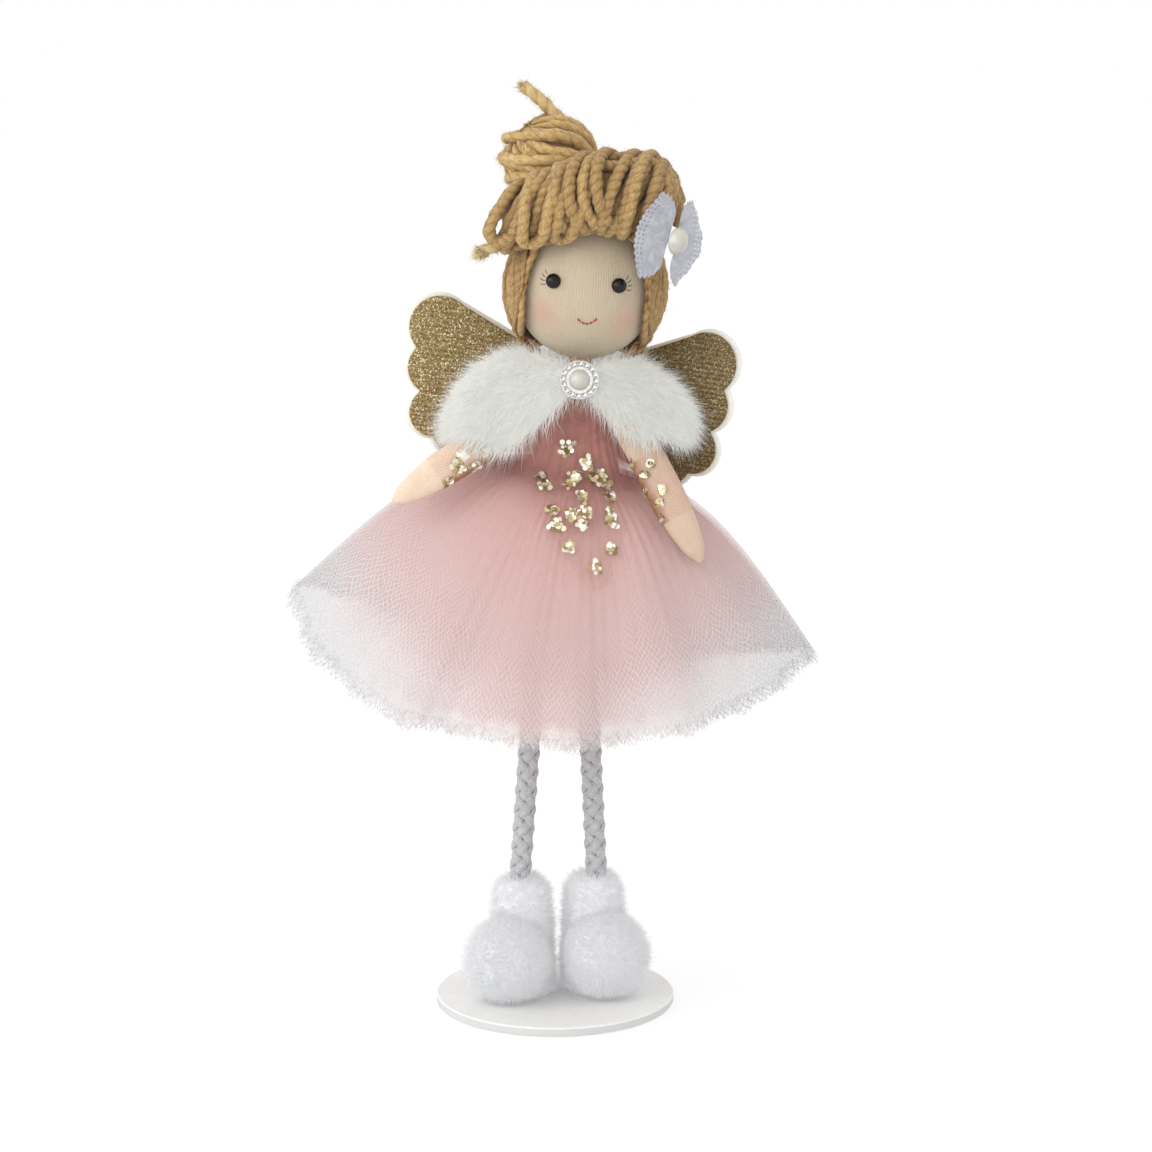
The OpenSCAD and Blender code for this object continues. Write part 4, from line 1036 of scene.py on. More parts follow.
wing_angle = turns(240)
wing_share = np.sin(np.linspace(0.0, np.pi / 2, 22))
# Painted shade: the right wing's cloth is coloured darker, as that wing turns away from the light.
for side_name, side, painted_shade in (("left", -1.0, 0.0), ("right", 1.0, 0.5)):
    sweep = wing_sweep[side_name]
    turn_way = wing_angle * side
    felt_flat = wing_cushion(wing_share, turn_way, front=0.0, back=wing_thick, inset=0.0)
    felt_rings = wing_place(felt_flat, side, sweep)
    felt_part = grid(felt_rings[None], True, 130.0, 80.0)
    felt_piece = make_piece("wing_felt_cushion_" + side_name, [felt_part], felt, "stand_and_body",
                            ["wing_felt_" + side_name])
    cloth_flat = wing_cushion(wing_share, turn_way, front=-0.75, back=0.0, inset=wing_rim)
    cloth_rings = wing_place(cloth_flat, side, sweep)
    cloth_part = grid(cloth_rings[None], True, 130.0, 80.0, painted_shade)
    flat_corner = cloth_flat.reshape(-1, 3)[cloth_part["faces"][0]]
    cloth_part["uv"] = [flat_corner[..., (0, 2)]]
    cloth_piece = make_piece("wing_glitter_cloth_" + side_name, [cloth_part], glitter, "stand_and_body",
                             ["wing_glitter_" + side_name])


# Arms, sleeves and shoulder threads
# Soft peach arms, stuffed flat, end in a plain mitten. A wrap of gold-dotted mesh covers part of each,
# and each hangs on a knotted thread at the shoulder.
arm_long = 41.5
arm_half_width = 4.8
arm_half_depth = 2.8
arm_forward = np.radians(14.0)
arm_drop = {"left": np.radians(36.0), "right": np.radians(58.0)}
sleeve_from = 0.24 * arm_long
sleeve_to = 0.68 * arm_long
sleeve_off = 0.22
shoulder_seat = np.array((14.0, -12.0, 59.0))
arm_stations = np.array((-6.0, -5.0, -2.5, 2.0, sleeve_from, 0.46 * arm_long, sleeve_to, 0.83 * arm_long,
                         0.93 * arm_long, arm_long))
arm_widths = np.array((0.18, 0.55, 0.9, 1.0, 0.98, 1.0, 0.92, 0.74, 0.5, 0.14)) * arm_half_width
arm_depths = np.array((0.3, 0.7, 0.95, 1.0, 1.0, 1.0, 0.95, 0.84, 0.66, 0.25)) * arm_half_depth


def arm_place(points, side, drop):
    """Points along, through and across an arm, turned forward and down and hung on the shoulder."""
    x, y, z = np.moveaxis(points, -1, 0)
    ahead_x, ahead_y = turned_by(x, y, arm_forward)
    hung_x, hung_z = turned_by(ahead_x, z, drop)
    hung = np.stack([hung_x, ahead_y, hung_z], axis=-1) + shoulder_seat
    return on_spine(hung * np.array((side, 1.0, 1.0)))


def arm_rings(stations, grow, sides, side):
    """Rounded-off rectangles round an arm at those stations, larger than it by grow."""
    turn = turns(sides) * side
    wide = (smooth_through(arm_stations, arm_widths, stations) + grow)[:, None]
    deep = (smooth_through(arm_stations, arm_depths, stations) + grow)[:, None]
    through, across = (np.sign(wave) * np.abs(wave) ** 0.78 for wave in (np.cos(turn), np.sin(turn)))
    return np.stack([stations[:, None] + 0.0 * turn, deep * through, wide * across], axis=-1)


# The foam's far colour is a painted shade, which the right arm takes.
foam = shaded_finish("peach_foam", 0.75, tone(216, 190, 167), tone(228, 204, 182), 420.0, 0.12,
                     tone(150, 120, 98), Sheen_Weight=0.15)
twist = plain_finish("peach_thread", 0.85, tone(206, 178, 152), tone(224, 200, 176), 1500.0, 0.05)
arm_steps = np.concatenate([np.linspace(-6.0, 34.0, 46), np.linspace(34.6, arm_long - 0.05, 22)])
# Painted shade: the right arm is coloured darker, as it hangs in shade.
for side_name, side, dot_size, dot_edge, painted_shade in (("left", -1.0, 1.75, 0.0, 0.0),
                                                     ("right", 1.0, 1.0, 0.12, 0.4)):
    drop = arm_drop[side_name]
    rings = arm_place(arm_rings(arm_steps, grow=0.0, sides=40, side=side), side, drop)
    caps = rings[[0, -1]].mean(axis=1, keepdims=True) + 0.0 * rings[[0, -1]]
    rings = np.concatenate([caps[:1], rings, caps[1:]])
    arm_part = grid(rings[None], True, 30.0, 48.0, painted_shade)
    arm_piece = make_piece("foam_arm_" + side_name, [arm_part], foam, side_name + "_arm",
                           ["arm_" + side_name])

    sleeve_local = arm_rings(np.linspace(sleeve_from, sleeve_to, 24), grow=sleeve_off, sides=72, side=side)
    sleeve_low = np.clip(-1.7 * sleeve_local[..., 2] / arm_half_width - 0.55, 0.0, 1.0)
    sleeve_rings = arm_place(sleeve_local, side, drop)
    sleeve_part = grid(sleeve_rings[None], True, 30.0, 19.0, sleeve_low)
    sleeve_piece = make_piece("sleeve_mesh_" + side_name, [sleeve_part], mesh_finish, side_name + "_arm",
                              ["sleeve_" + side_name])

    dot_along = np.array((0.25, 0.34, 0.44, 0.54, 0.64, 0.3, 0.48)) * arm_long
    dot_across = np.array((-0.78, -0.4, -0.8, -0.36, -0.76, 0.15, 0.1)) - dot_edge
    dot_depth = smooth_through(arm_stations, arm_depths, dot_along) + 0.25
    face_y = -dot_depth * np.sqrt(1 - np.abs(dot_across) ** 2.6)
    dot_width = dot_across * smooth_through(arm_stations, arm_widths, dot_along)
    dots = arm_place(np.stack([dot_along, face_y, dot_width], axis=-1), side, drop)
    under = arm_place(np.stack([dot_along, 0.0 * dot_along, 0.55 * dot_width], axis=-1), side, drop)
    arm_dots = glitter_rounds(dots - 0.35 * unit(dots - under), unit(dots - under),
                              dot_size * flake_dice.uniform(0.75, 1.15, len(dots)))
    arm_flakes = make_piece("sleeve_dots_" + side_name, [arm_dots], gold_flake, side_name + "_arm", ())
    arm_flakes.data.shade_flat()
    dress("shoulder_thread_" + side_name, twist)


# Neck peg and neck frill
# A beech peg joins the body and the head, which turns on it. Round the peg, under the fur, a ruffle of
# lilac-pink net is drawn up on a thread and stitched to the body.
beech = plain_finish("beech", 0.6, tone(196, 160, 116), tone(214, 182, 140), 260.0, 0.05)
dress("neck_dowel", beech)
frill_radius = 6.0
frill_half = 1.15
frill_height = 68.3
frill_folds = 26
frill_turn = turns(260)
frill_round = np.linspace(-0.5 * np.pi, 1.5 * np.pi, 15)[:, None]
frill_wave = 1.0 + 0.28 * np.cos(frill_folds * frill_turn + 1.4 * np.sin(5 * frill_turn))
frill_out = frill_radius + frill_half * frill_wave * np.cos(frill_round)
frill_up = frill_height + frill_half * np.sin(frill_round) + 0.3 * np.sin(frill_folds * frill_turn)
lilac = tone(208, 184, 190)
frill_finish = net_finish("lilac_net", (tone(186, 150, 158), tone(200, 170, 178), lilac, lilac),
                          thread_colour=tone(220, 202, 208), pitch=0.9, thread=0.15,
                          veil=(0.7, 0.6, 0.5, 0.5), thread_share=0.5, thread_alpha=0.9, fade=(30.0, 40.0))
frill_part = grid(on_spine(around(frill_out, frill_turn, frill_up))[None], True, 90.0, 8.0)
frill_piece = make_piece("neck_ruffle", [frill_part], frill_finish, "stand_and_body", ["neck_frill"])


# Fur cape
# Two lobes of long white fur lie over the shoulders and the tops of the arms, and meet under the brooch.
# The fur is combed outward and down from the neck, and its ends make a soft edge.
cape_neck = np.array((9.0, 9.0, 73.0))
cape_hem = np.array((32.0, 20.0, 50.0))
fur_half = 3.5
fur_off_arm = 1.6
fur_count = 24000
fur_dice = np.random.default_rng(37)
# Painted light: the hairs lighten from root to tip, a painted shade at the roots, and the fur glows a little,
# a painted brightening.
fur = shaded_finish("white_fur", 0.9, tone(188, 189, 184), tone(210, 210, 206), 260.0, 0.3,
                    tone(224, 224, 219), Emission_Color=tone(254, 255, 250), Emission_Strength=0.21)

cape_rows = 90
cape_reach = 88.0
cape_angle = np.radians(np.linspace(-cape_reach, cape_reach, cape_rows))
cape_degrees = np.degrees(cape_angle)
cape_low = cape_hem[2] + 13 * bell(cape_degrees, -90, 24) + 10 * bell(cape_degrees, 90, 40)
neck_points = around(cape_neck[0], cape_angle, cape_neck[2], cape_neck[1])
hem_points = around(cape_hem[0], cape_angle, cape_low, cape_hem[1])
cape_out = unit(np.cross(hem_points - neck_points, np.gradient(neck_points + hem_points, axis=0)))
cape_middle = (neck_points + hem_points) / 2 + 1.5 * cape_out
cape_half = np.linalg.norm(hem_points - neck_points, axis=-1) / 2
cape_down = unit(hem_points - neck_points)
cape_end = np.sqrt(np.maximum(1 - np.abs(cape_degrees / cape_reach) ** 10, 0.0))
core_long = (cape_half - 0.8) * cape_end
core_deep = (fur_half - 1.3) * cape_end


def over_arm(points, drop):
    """Points where the arm lies under the fur, moved forward until they clear the arm."""
    ahead = np.array((np.cos(arm_forward) * np.cos(drop), -np.sin(arm_forward),
                      -np.cos(arm_forward) * np.sin(drop)))
    wide = np.array((np.sin(drop), 0.0, np.cos(drop)))
    front = np.cross(ahead, wide)
    along, beside, off = ((points - shoulder_seat) @ way for way in (ahead, wide, front))
    bulge = np.sqrt(np.maximum(1 - (beside / (arm_half_width + 4.5)) ** 2, 0.0))
    here = np.clip((along + 9) / 4, 0, 1) * np.clip((36 - along) / 8, 0, 1) * np.clip((off + 11) / 4, 0, 1)
    return points + (np.maximum((arm_half_depth + fur_off_arm) * bulge - off, 0.0) * here)[..., None] * front


def before_wing(points, side, sweep, gap):
    """Points moved forward, where they must be, to lie that gap in front of the wing's glitter cloth."""
    corners = np.array(((0.0, -0.8, 0.0), (40.0, -0.8, 0.0), (0.0, -0.8, 30.0)))
    seat, far, high = wing_place(corners, side, sweep)
    front = side * unit(np.cross(far - seat, high - seat))
    short = np.maximum(gap - (points - seat) @ front, 0.0)
    return points + short[..., None] * front


for side_name, side, fullness, hang, tip in (("left", -1.0, 5.5, 0.0, 0.42), ("right", 1.0, 3.0, -0.42, 0.0)):
    sweep = wing_sweep[side_name]
    mirror = np.array((side, 1.0, 1.0))
    ring_turn = -side * turns(30)
    lower = (hang + tip * bell(cape_degrees, -70, 15))[:, None] * np.clip(np.cos(ring_turn), 0.0, 1.0)
    core_fall = core_long[:, None] * (1 + lower) * np.cos(ring_turn)
    core_rings = (cape_middle[:, None] + core_fall[..., None] * cape_down[:, None]
                  + (core_deep[:, None] * np.sin(ring_turn))[..., None] * cape_out[:, None])
    to_front = np.clip((50.0 - cape_degrees) / 60.0, 0.0, 1.0)
    swell = fullness * (0.35 + 0.65 * np.cos(cape_angle)) * cape_end * to_front
    bulge = swell[:, None] * np.sin(ring_turn) ** 2
    core_rings = core_rings + bulge[..., None] * cape_out[:, None]
    core_rings = on_spine(over_arm(core_rings, arm_drop[side_name]) * mirror)
    core_rings = before_wing(core_rings, side, sweep, 0.4 + 0.3 * np.sin(ring_turn) ** 2)
    core = grid(core_rings[None], True, 60.0, 90.0)
    roots, out = scattered(core, fur_count, fur_dice)
    line_middle = on_spine(cape_middle * mirror)
    nearest = np.argmin(np.linalg.norm(roots[:, None] - line_middle, axis=-1), axis=1)
    down = (on_spine((cape_middle + cape_down) * mirror) - line_middle)[nearest]
    outer = (on_spine((cape_middle + cape_out) * mirror) - line_middle)[nearest]
    keep = np.sum(out * outer, axis=-1) > -0.5
    roots, out, down, nearest = roots[keep], out[keep], down[keep], nearest[keep]
    fall = np.sum((roots - line_middle[nearest]) * down, axis=-1) / cape_half[nearest]
    fall = np.clip(fall, -1.0, 1.0)[:, None]
    parting = bell(cape_degrees[nearest], -cape_reach, 22)[:, None] * np.array((side, 0.0, 0.0))
    tuft = lumps(roots, 1.6)[:, None]
    way = unit(0.58 * out + (0.5 + 0.3 * fall) * down + 0.3 * parting + 0.27 * fur_dice.normal(size=out.shape)
               + 0.2 * tuft * np.cross(out, down))
    sag = 0.22 * fur_dice.normal(size=out.shape) - np.array((0.0, 0.0, 0.24)) - 0.16 * out
    long = fur_dice.uniform(4.5, 8.4, len(roots))
    coat = hairs(roots - 0.3 * out, way, sag, long, fur_dice.uniform(0.04, 0.075, len(roots)), fur_dice,
                 fur_dice.random(len(roots)))
    coat["points"] = before_wing(coat["points"], side, sweep, 0.3)
    cape_piece = make_piece("fur_lobe_" + side_name, [core, coat], fur, None, ["cape_" + side_name])
    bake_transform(cape_piece)


# Brooch
# A round silver brooch closes the cape: a domed pearl in the middle and a ring of sixteen cut stones,
# each held by small claws.
brooch_seat = np.array((0.0, -19.5, 70.3))
brooch_lean = np.radians(75.0)
brooch_radius = 5.1
stone_count = 16
stone_radius = 0.72
setting_thick = 1.2
claw_radius = 0.24
claw_height = 1.55


def brooch_place(points):
    """Points across, up and out of the brooch's face, set on the chest."""
    x, y, z = np.moveaxis(np.asarray(points, float), -1, 0)
    leaned_z, leaned_y = turned_by(z, y, brooch_lean)
    return on_spine(np.stack([x, leaned_y, leaned_z], axis=-1) + brooch_seat)


def dome_outline(radius):
    """The outline of a closed half ball, out along its flat base and up to its top."""
    rise = on_circle(np.linspace(0.0, np.pi / 2, 24)) * radius
    return np.concatenate([[(0.0, 0.0)], rise[:-1], [(0.0, radius)]])


silver = plain_finish("silver", 0.25, tone(190, 189, 186), tone(226, 225, 222), 800.0, 0.03, Metallic=1.0)
dress("brooch_setting", silver)
gem, gem_tree, gem_shader = new_finish("clear_stone", 0.04, Metallic=0.35, Coat_Weight=0.6)
gem_normal = put(gem_tree, "ShaderNodeNewGeometry").outputs["Normal"]
# Painted reflection: each facet is coloured from dark grey to near white by the way it faces.
gem_painted_reflection = spread(gem_tree, noise(gem_tree, gem_normal, 5.0), 0.38, 0.62)
tint(gem_tree, gem_shader, gem_painted_reflection, tone(112, 112, 112), tone(252, 251, 248))
pearl, pearl_tree, pearl_shader = new_finish("pearl", 0.18, Coat_Weight=0.7)
pearl_cloud = noise(pearl_tree, place_of(pearl_tree), 220.0)
tint(pearl_tree, pearl_shader, pearl_cloud, tone(166, 164, 152), tone(200, 198, 188))

stone_ring = brooch_radius - stone_radius - 0.15
cut_radius = np.array((0.75, 1.0, 0.94, 0.56, 0.0)) * stone_radius
cut_height = np.array((0.0, 0.25, 0.4, 0.72, 0.74)) + setting_thick
cut = around(cut_radius[:, None], turns(8), cut_height[:, None])
stone_middles = around(stone_ring, turns(stone_count), 0.0)
stones = brooch_place(cut + stone_middles[:, None, None])
stone_part = grid(stones, True, 4.0, 1.0)
stone_piece = make_piece("cut_stones", [stone_part], gem, "stand_and_body", ["brooch_stones"])
stone_piece.data.shade_flat()

claw_turn = np.repeat(turns(stone_count) + np.pi / stone_count, 2)
claw_far = stone_ring + np.tile((0.5, -0.55), stone_count)
claw_middles = around(claw_far, claw_turn, claw_height)
claw_ball = turned_form(ball_outline(9) * claw_radius, (0.0, 0.0, 0.0), 10)[0]
claws = brooch_place(claw_ball + claw_middles[:, None, None])
claw_part = grid(claws, True, 1.0, 1.0)
make_piece("stone_claws", [claw_part], silver, "stand_and_body", ())

dome_radius = brooch_radius - 2 * stone_radius - 0.9
dome = brooch_place(turned_form(dome_outline(dome_radius), (0.0, 0.0, setting_thick + 0.05), 48))
dome_part = grid(dome, True, 19.0, 8.0)
make_piece("brooch_dome", [dome_part], pearl, "stand_and_body", ["brooch_pearl"])


# Head, eyes and stitched face
# A ball of stuffing under ribbed cream jersey, drawn together at the neck. The eyes are black beads,
# the smile and lashes are stitched with thread, and the cheeks are rubbed with pink.
head_radius = 19.0
eye_radius = 2.0
eye_across = 8.4
eye_up = 2.8
cheeks = ((-10.8, -14.0, -6.2), (11.2, -13.6, -6.6))


def on_head(points):
    """Points measured from the head's middle, in the doll's frame."""
    return on_spine(np.asarray(points, float) + np.array((0.0, 0.0, head_height)))


def on_face(x, z, lift):
    """Points on the front of the head at x and z, raised by lift."""
    y = -np.sqrt(head_radius**2 - x * x - z * z)
    return on_head(np.stack([x, y, z], axis=-1) * ((head_radius + lift) / head_radius)[..., None])


# Painted light: the jersey glows a little, which evens out the shading of the face.
jersey, jersey_tree, jersey_shader = new_finish("cream_jersey", 0.9, Sheen_Weight=0.2,
                                                 Emission_Color=tone(200, 184, 158), Emission_Strength=0.12)
jersey_base = mottled(jersey_tree, jersey_shader, tone(172, 158, 135), tone(181, 168, 145), 240.0, 0.1)
jersey_rib = ridges(jersey_tree, 0.7)
jersey_tree.links.new(bumps(jersey_tree, jersey_rib, 0.7, 0.06), jersey_shader.inputs["Normal"])
# Painted shade: the grooves between the ribs are coloured darker.
jersey_groove_shade = spread(jersey_tree, jersey_rib, -1.0, 0.2, 0.1, 0.0)
jersey_plain = colour_mix(jersey_tree, jersey_groove_shade, jersey_base, tone(150, 130, 104))
tint(jersey_tree, jersey_shader, shade_of(jersey_tree), jersey_plain, tone(178, 128, 118))
ball = turned_form(ball_outline(90) * head_radius, (0.0, 0.0, 0.0), 140)
rubbed = sum(np.exp(-np.sum((ball - np.array(cheek)) ** 2, axis=-1) / 22.0) for cheek in cheeks)
head_part = grid(on_head(ball), True, 2 * np.pi * head_radius, np.pi * head_radius, 0.55 * rubbed)
head_piece = make_piece("jersey_head", [head_part], jersey, "head_and_hair", ["head"])

bead = plain_finish("black_bead", 0.12, tone(10, 9, 9), tone(24, 22, 21), 900.0, 0.01, Specular_IOR_Level=0.3)
for side_name, side in (("left", -1.0), ("right", 1.0)):
    eye_seat = np.array((side * eye_across, -np.sqrt(head_radius**2 - eye_across**2 - eye_up**2), eye_up))
    eye_middle = eye_seat * ((head_radius + 0.4) / head_radius)
    eye_ball = turned_form(ball_outline(90)[::3] * eye_radius, eye_middle, 40)
    eye_part = grid(on_head(eye_ball), True, 12.0, 6.0)
    make_piece("bead_eye_" + side_name, [eye_part], bead, "head_and_hair", ["eye_" + side_name])

stitch_red = plain_finish("red_thread", 0.8, tone(150, 40, 36), tone(186, 66, 56), 2000.0, 0.05)
stitch_black = plain_finish("black_thread", 0.8, tone(24, 20, 20), tone(48, 40, 38), 2000.0, 0.05)


def stitches(name, x, z, radius, finish):
    """Threads laid on the face through the points x and z of each stitch, sunk at both ends."""
    rise = np.sin(np.linspace(0.0, np.pi, x.shape[1])) ** 0.6
    paths = on_face(x, z, rise * radius * 1.6 - 0.15)
    thick = radius * np.maximum(rise, 0.3)
    rounds = tube(paths, unit(paths - head_middle), thick, thick, 8)
    rounds[:, [0, -1]] = paths[:, [0, -1], None]
    part = grid(rounds, True, 1.0, lengths(paths))
    make_piece(name, [part], finish, "head_and_hair", ())


smile_count = 5
smile_ends = np.linspace(-1.0, 1.0, smile_count + 1)
smile_share = np.linspace(0.04, 0.96, 9)
smile_at = smile_ends[:-1, None] + np.diff(smile_ends)[:, None] * smile_share
stitches("stitched_smile", 0.9 + 2.6 * smile_at, -7.6 + 1.5 * smile_at**2 + 0.2 * smile_at, radius=0.24,
         finish=stitch_red)
lash_share = np.linspace(0.0, 1.0, 9)
lash_turn = np.radians(np.array((206.0, 184.0, 162.0, 140.0)))[:, None]
lash_far = eye_radius + 0.1 + 1.9 * lash_share
lash_bend = lash_turn - 0.2 * lash_share**2
lash_x, lash_z = lash_far * np.cos(lash_bend), lash_far * np.sin(lash_bend)
stitches("lashes_left", lash_x - eye_across, lash_z + eye_up, radius=0.1, finish=stitch_black)
stitches("lashes_right", eye_across - lash_x, lash_z + eye_up, radius=0.1, finish=stitch_black)


# Yarn wig
# Strands of thin plied yarn run from the crown down each side and the back of the head, and turn in
# under the chin. They are sewn to the head round the face, which stays open.
yarn, yarn_tree, yarn_shader = new_finish("honey_yarn", 0.95, Sheen_Weight=0.15)
yarn_base = mottled(yarn_tree, yarn_shader, tone(150, 110, 54), tone(188, 148, 82), 420.0, 0.12)
yarn_cloth = cloth_of(yarn_tree)
yarn_slant = put(yarn_tree, "ShaderNodeMapping", {0: yarn_cloth, "Rotation": (0.0, 0.0, 0.5)}).outputs[0]
yarn_stretch = put(yarn_tree, "ShaderNodeMapping", {0: yarn_slant, "Scale": (4.5, 0.7, 1.0)}).outputs[0]
yarn_fibre = noise(yarn_tree, yarn_stretch, 1.0, 4.0)
# The yarn's colour carries painted light: a painted highlight on the fibres, painted shade towards deep brown
# as the mesh's shade rises, and below a shade of 0 a pale colour, which is a painted highlight on the crowns
# and the real paleness of the frayed ends.
yarn_dark = shade_of(yarn_tree)
yarn_shine = spread(yarn_tree, yarn_fibre, 0.35, 0.65, 0.0, 0.8)
yarn_lit = colour_mix(yarn_tree, yarn_shine, yarn_base, tone(224, 196, 138))
yarn_deep = colour_mix(yarn_tree, spread(yarn_tree, yarn_dark, 0.0, 1.0), yarn_lit, tone(86, 46, 8))
yarn_pale_and_highlight = spread(yarn_tree, yarn_dark, -1.0, 0.0, 1.0, 0.0)
tint(yarn_tree, yarn_shader, yarn_pale_and_highlight, yarn_deep, tone(236, 216, 166))
yarn_tree.links.new(bumps(yarn_tree, yarn_fibre, 0.9, 0.4), yarn_shader.inputs["Normal"])
fuzz_dice = np.random.default_rng(53)


def plied(paths, over, radius, sides, turn_every, plies, depth=0.24, darker=0.0):
    """Yarn along paths: a round section with a lobe for each ply, which turn as it runs. The grooves
    between the plies and the flanks get a painted shade and the crowns are lifted towards a painted
    highlight, some strands are darker all along, and all of them are darker by a given share, or lighter."""
    up, beside = across_path(paths, over)
    run = lengths(paths)
    turn = turns(sides)
    lobe = np.abs(np.cos(0.5 * plies * (turn - 2 * np.pi * run[..., None] / turn_every)))
    duller = 0.08 + 0.12 * np.sin(2.4 * np.arange(len(paths)))[:, None, None]
    uneven = 1.0 + 0.07 * np.sin(run[..., None] * 1.1 + 3.0 * np.arange(len(paths))[:, None, None])
    thick = np.broadcast_to(radius, run.shape)[..., None] * (1 - depth + depth * lobe) * uneven
    rings = (paths[:, :, None] + (thick * np.cos(turn))[..., None] * up
             + (thick * np.sin(turn))[..., None] * beside)
    rings[:, [0, -1]] = paths[:, [0, -1], None]
    shade = 0.32 * (1 - lobe) ** 2 + 0.95 * (0.5 - 0.5 * np.cos(turn)) ** 1.15 + duller - 0.18
    return grid(rings, True, 6.28 * np.mean(radius), run, shade + darker)


def fuzz(part, count, length):
    """Loose fibres that stand off a yarn's surface."""
    roots, out = scattered(part, count, fuzz_dice)
    way = unit(out + 0.9 * fuzz_dice.normal(size=out.shape))
    sag = 0.5 * fuzz_dice.normal(size=out.shape)
    long = length * fuzz_dice.uniform(0.3, 1.1, count)
    made = hairs(roots - 0.1 * out, way, sag, long, np.full(count, 0.04), fuzz_dice)
    made["shade"] = 0.0 * made["shade"]
    return made


face_half = 16.2
face_gap = 50.0
cap_radius = 19.8
strand_far = 20.9


def part_round_face(points):
    """Points near the face moved sideways out of the opening, and kept as far from the head's middle."""
    far = np.linalg.norm(points, axis=-1)
    x, y, z = np.moveaxis(points, -1, 0)
    inside = (y < -3.0) & (z < 14.0)
    clear = np.sqrt(np.maximum(face_half**2 - np.where(z > -1.0, (z + 1.0) ** 2, 0.0), 0.0))
    moved = np.where(inside & (np.abs(x) < clear), np.sign(x) * clear, x)
    depth = np.sign(y) * np.sqrt(np.maximum(far**2 - moved**2 - z * z, 0.04))
    return np.stack([moved, np.where(moved == x, y, depth), z], axis=-1)


strand_count = 58
strand_radius = 1.05
strand_fall = np.radians(np.linspace(20.0, 146.0, 64))
strand_round = np.radians(np.linspace(face_gap - 90.0, 270.0 - face_gap, strand_count))[:, None]
strand_wander = 0.05 * np.sin(2.2 * strand_fall + 5.0 * strand_round) + 0.03 * np.sin(17 * strand_round)
strand_lift = 0.45 * np.sin(41.0 * strand_round) + 0.2 * np.sin(9 * strand_round + 2 * strand_fall)
strand_out = strand_far + strand_lift - 0.9 * np.clip((strand_fall - 2.1) / 0.45, 0.0, 1.0)
strand_angle = strand_round + strand_wander
strand_points = around(strand_out * np.sin(strand_fall), strand_angle, strand_out * np.cos(strand_fall))
strand_paths = on_head(part_round_face(strand_points))
# Their darker share is a painted shade.
wig_strands = plied(strand_paths, strand_paths - head_middle, radius=strand_radius, sides=12, turn_every=6.0,
                    plies=2, darker=0.32)

side_count = 13
side_x = np.linspace(16.6, 20.2, side_count)[:, None]
side_z = np.linspace(13.0, -18.2, 56)
side_bow = 0.5 * np.sin(side_z / 5.0 + 1.7 * side_x)
side_bow = side_bow + 0.9 * np.clip((-6.0 - side_z) / 8.0, 0.0, 1.0) * (18.0 - side_x)
side_far = 21.9 - 0.25 * (side_x - 16.6) + 0.3 * np.sin(2.9 * side_x)
side_across = np.minimum(side_x + side_bow, 0.985 * np.sqrt(side_far**2 - side_z**2))
side_ahead = -np.sqrt(np.maximum(side_far**2 - side_across**2 - side_z**2, 0.05))
side_points = np.stack([side_across, side_ahead, side_z + 0.0 * side_across], axis=-1)
side_paths = on_head(np.concatenate([side_points * np.array((side, 1.0, 1.0)) for side in (-1.0, 1.0)]))
# The side strands' larger darker share is a painted shade.
side_strands = plied(side_paths, side_paths - head_middle, radius=0.72, sides=10, turn_every=5.0, plies=2,
                     darker=0.46)

cap_round = np.radians(np.linspace(face_gap - 90.0, 270.0 - face_gap, 120))[:, None]
cap_points = around(cap_radius * np.sin(strand_fall), cap_round, cap_radius * np.cos(strand_fall))
cap_points = on_head(part_round_face(cap_points)).transpose(1, 0, 2)[::-1]
# Painted shade: the sheet under the strands is coloured dark, so that the gaps between them read as shadow.
cap_part = grid(cap_points[None], False, 100.0, 50.0, 0.7)
wig_fuzz = [fuzz(wig_strands, 3000, 1.6), fuzz(side_strands, 900, 1.4)]
make_piece("wig_strands", [wig_strands, side_strands, cap_part] + wig_fuzz, yarn, "head_and_hair",
           ["hair_wig"])


# Roll and loops over the forehead
# A padded roll is sewn across the front of the head. Thick soft yarn is looped over it: open hairpins
# at the left, and slanting cords that tuck under at the right. One frayed end hangs at the left.
roll_from, roll_to = -23.0, 22.0
loop_radius = 1.72


def roll_middle(x):
    """The line of the roll: bowed back and down at both ends, a little higher at the right."""
    return np.stack([x, -11.5 + 0.008 * x * x, 24.5 + 0.1 * x - 0.011 * x * x], axis=-1)


def roll_swell(x):
    """The roll's radius, which grows to the right."""
    return 7.2 * (1.02 + 0.007 * x)


def roll_end(x):
    """The share of its radius that the roll keeps where it rounds off at the right, from 1 down to 0."""
    return np.sqrt(1 - np.clip((x - 13.0) / 10.6, 0.0, 0.99) ** 3)


roll_x = np.linspace(roll_from, roll_to, 50)
roll_share = (2 * roll_x - roll_from - roll_to) / (roll_to - roll_from)
roll_round = np.sqrt(np.maximum(1 - np.abs(roll_share) ** 6, 0.0))
roll_thick = (roll_swell(roll_x) - 0.6) * roll_round * roll_end(roll_x)
roll_line = on_head(roll_middle(roll_x))[None]
roll_rings = tube(roll_line, np.broadcast_to(spine, roll_line.shape), roll_thick, roll_thick, 40)
# Painted shade: the roll's yarn is coloured dark, so that it reads as shadow between the loops.
roll_part = grid(roll_rings, True, 45.0, 46.0, 0.75)
roll_piece = make_piece("padded_roll", [roll_part], yarn, "head_and_hair", ["hair_roll"])


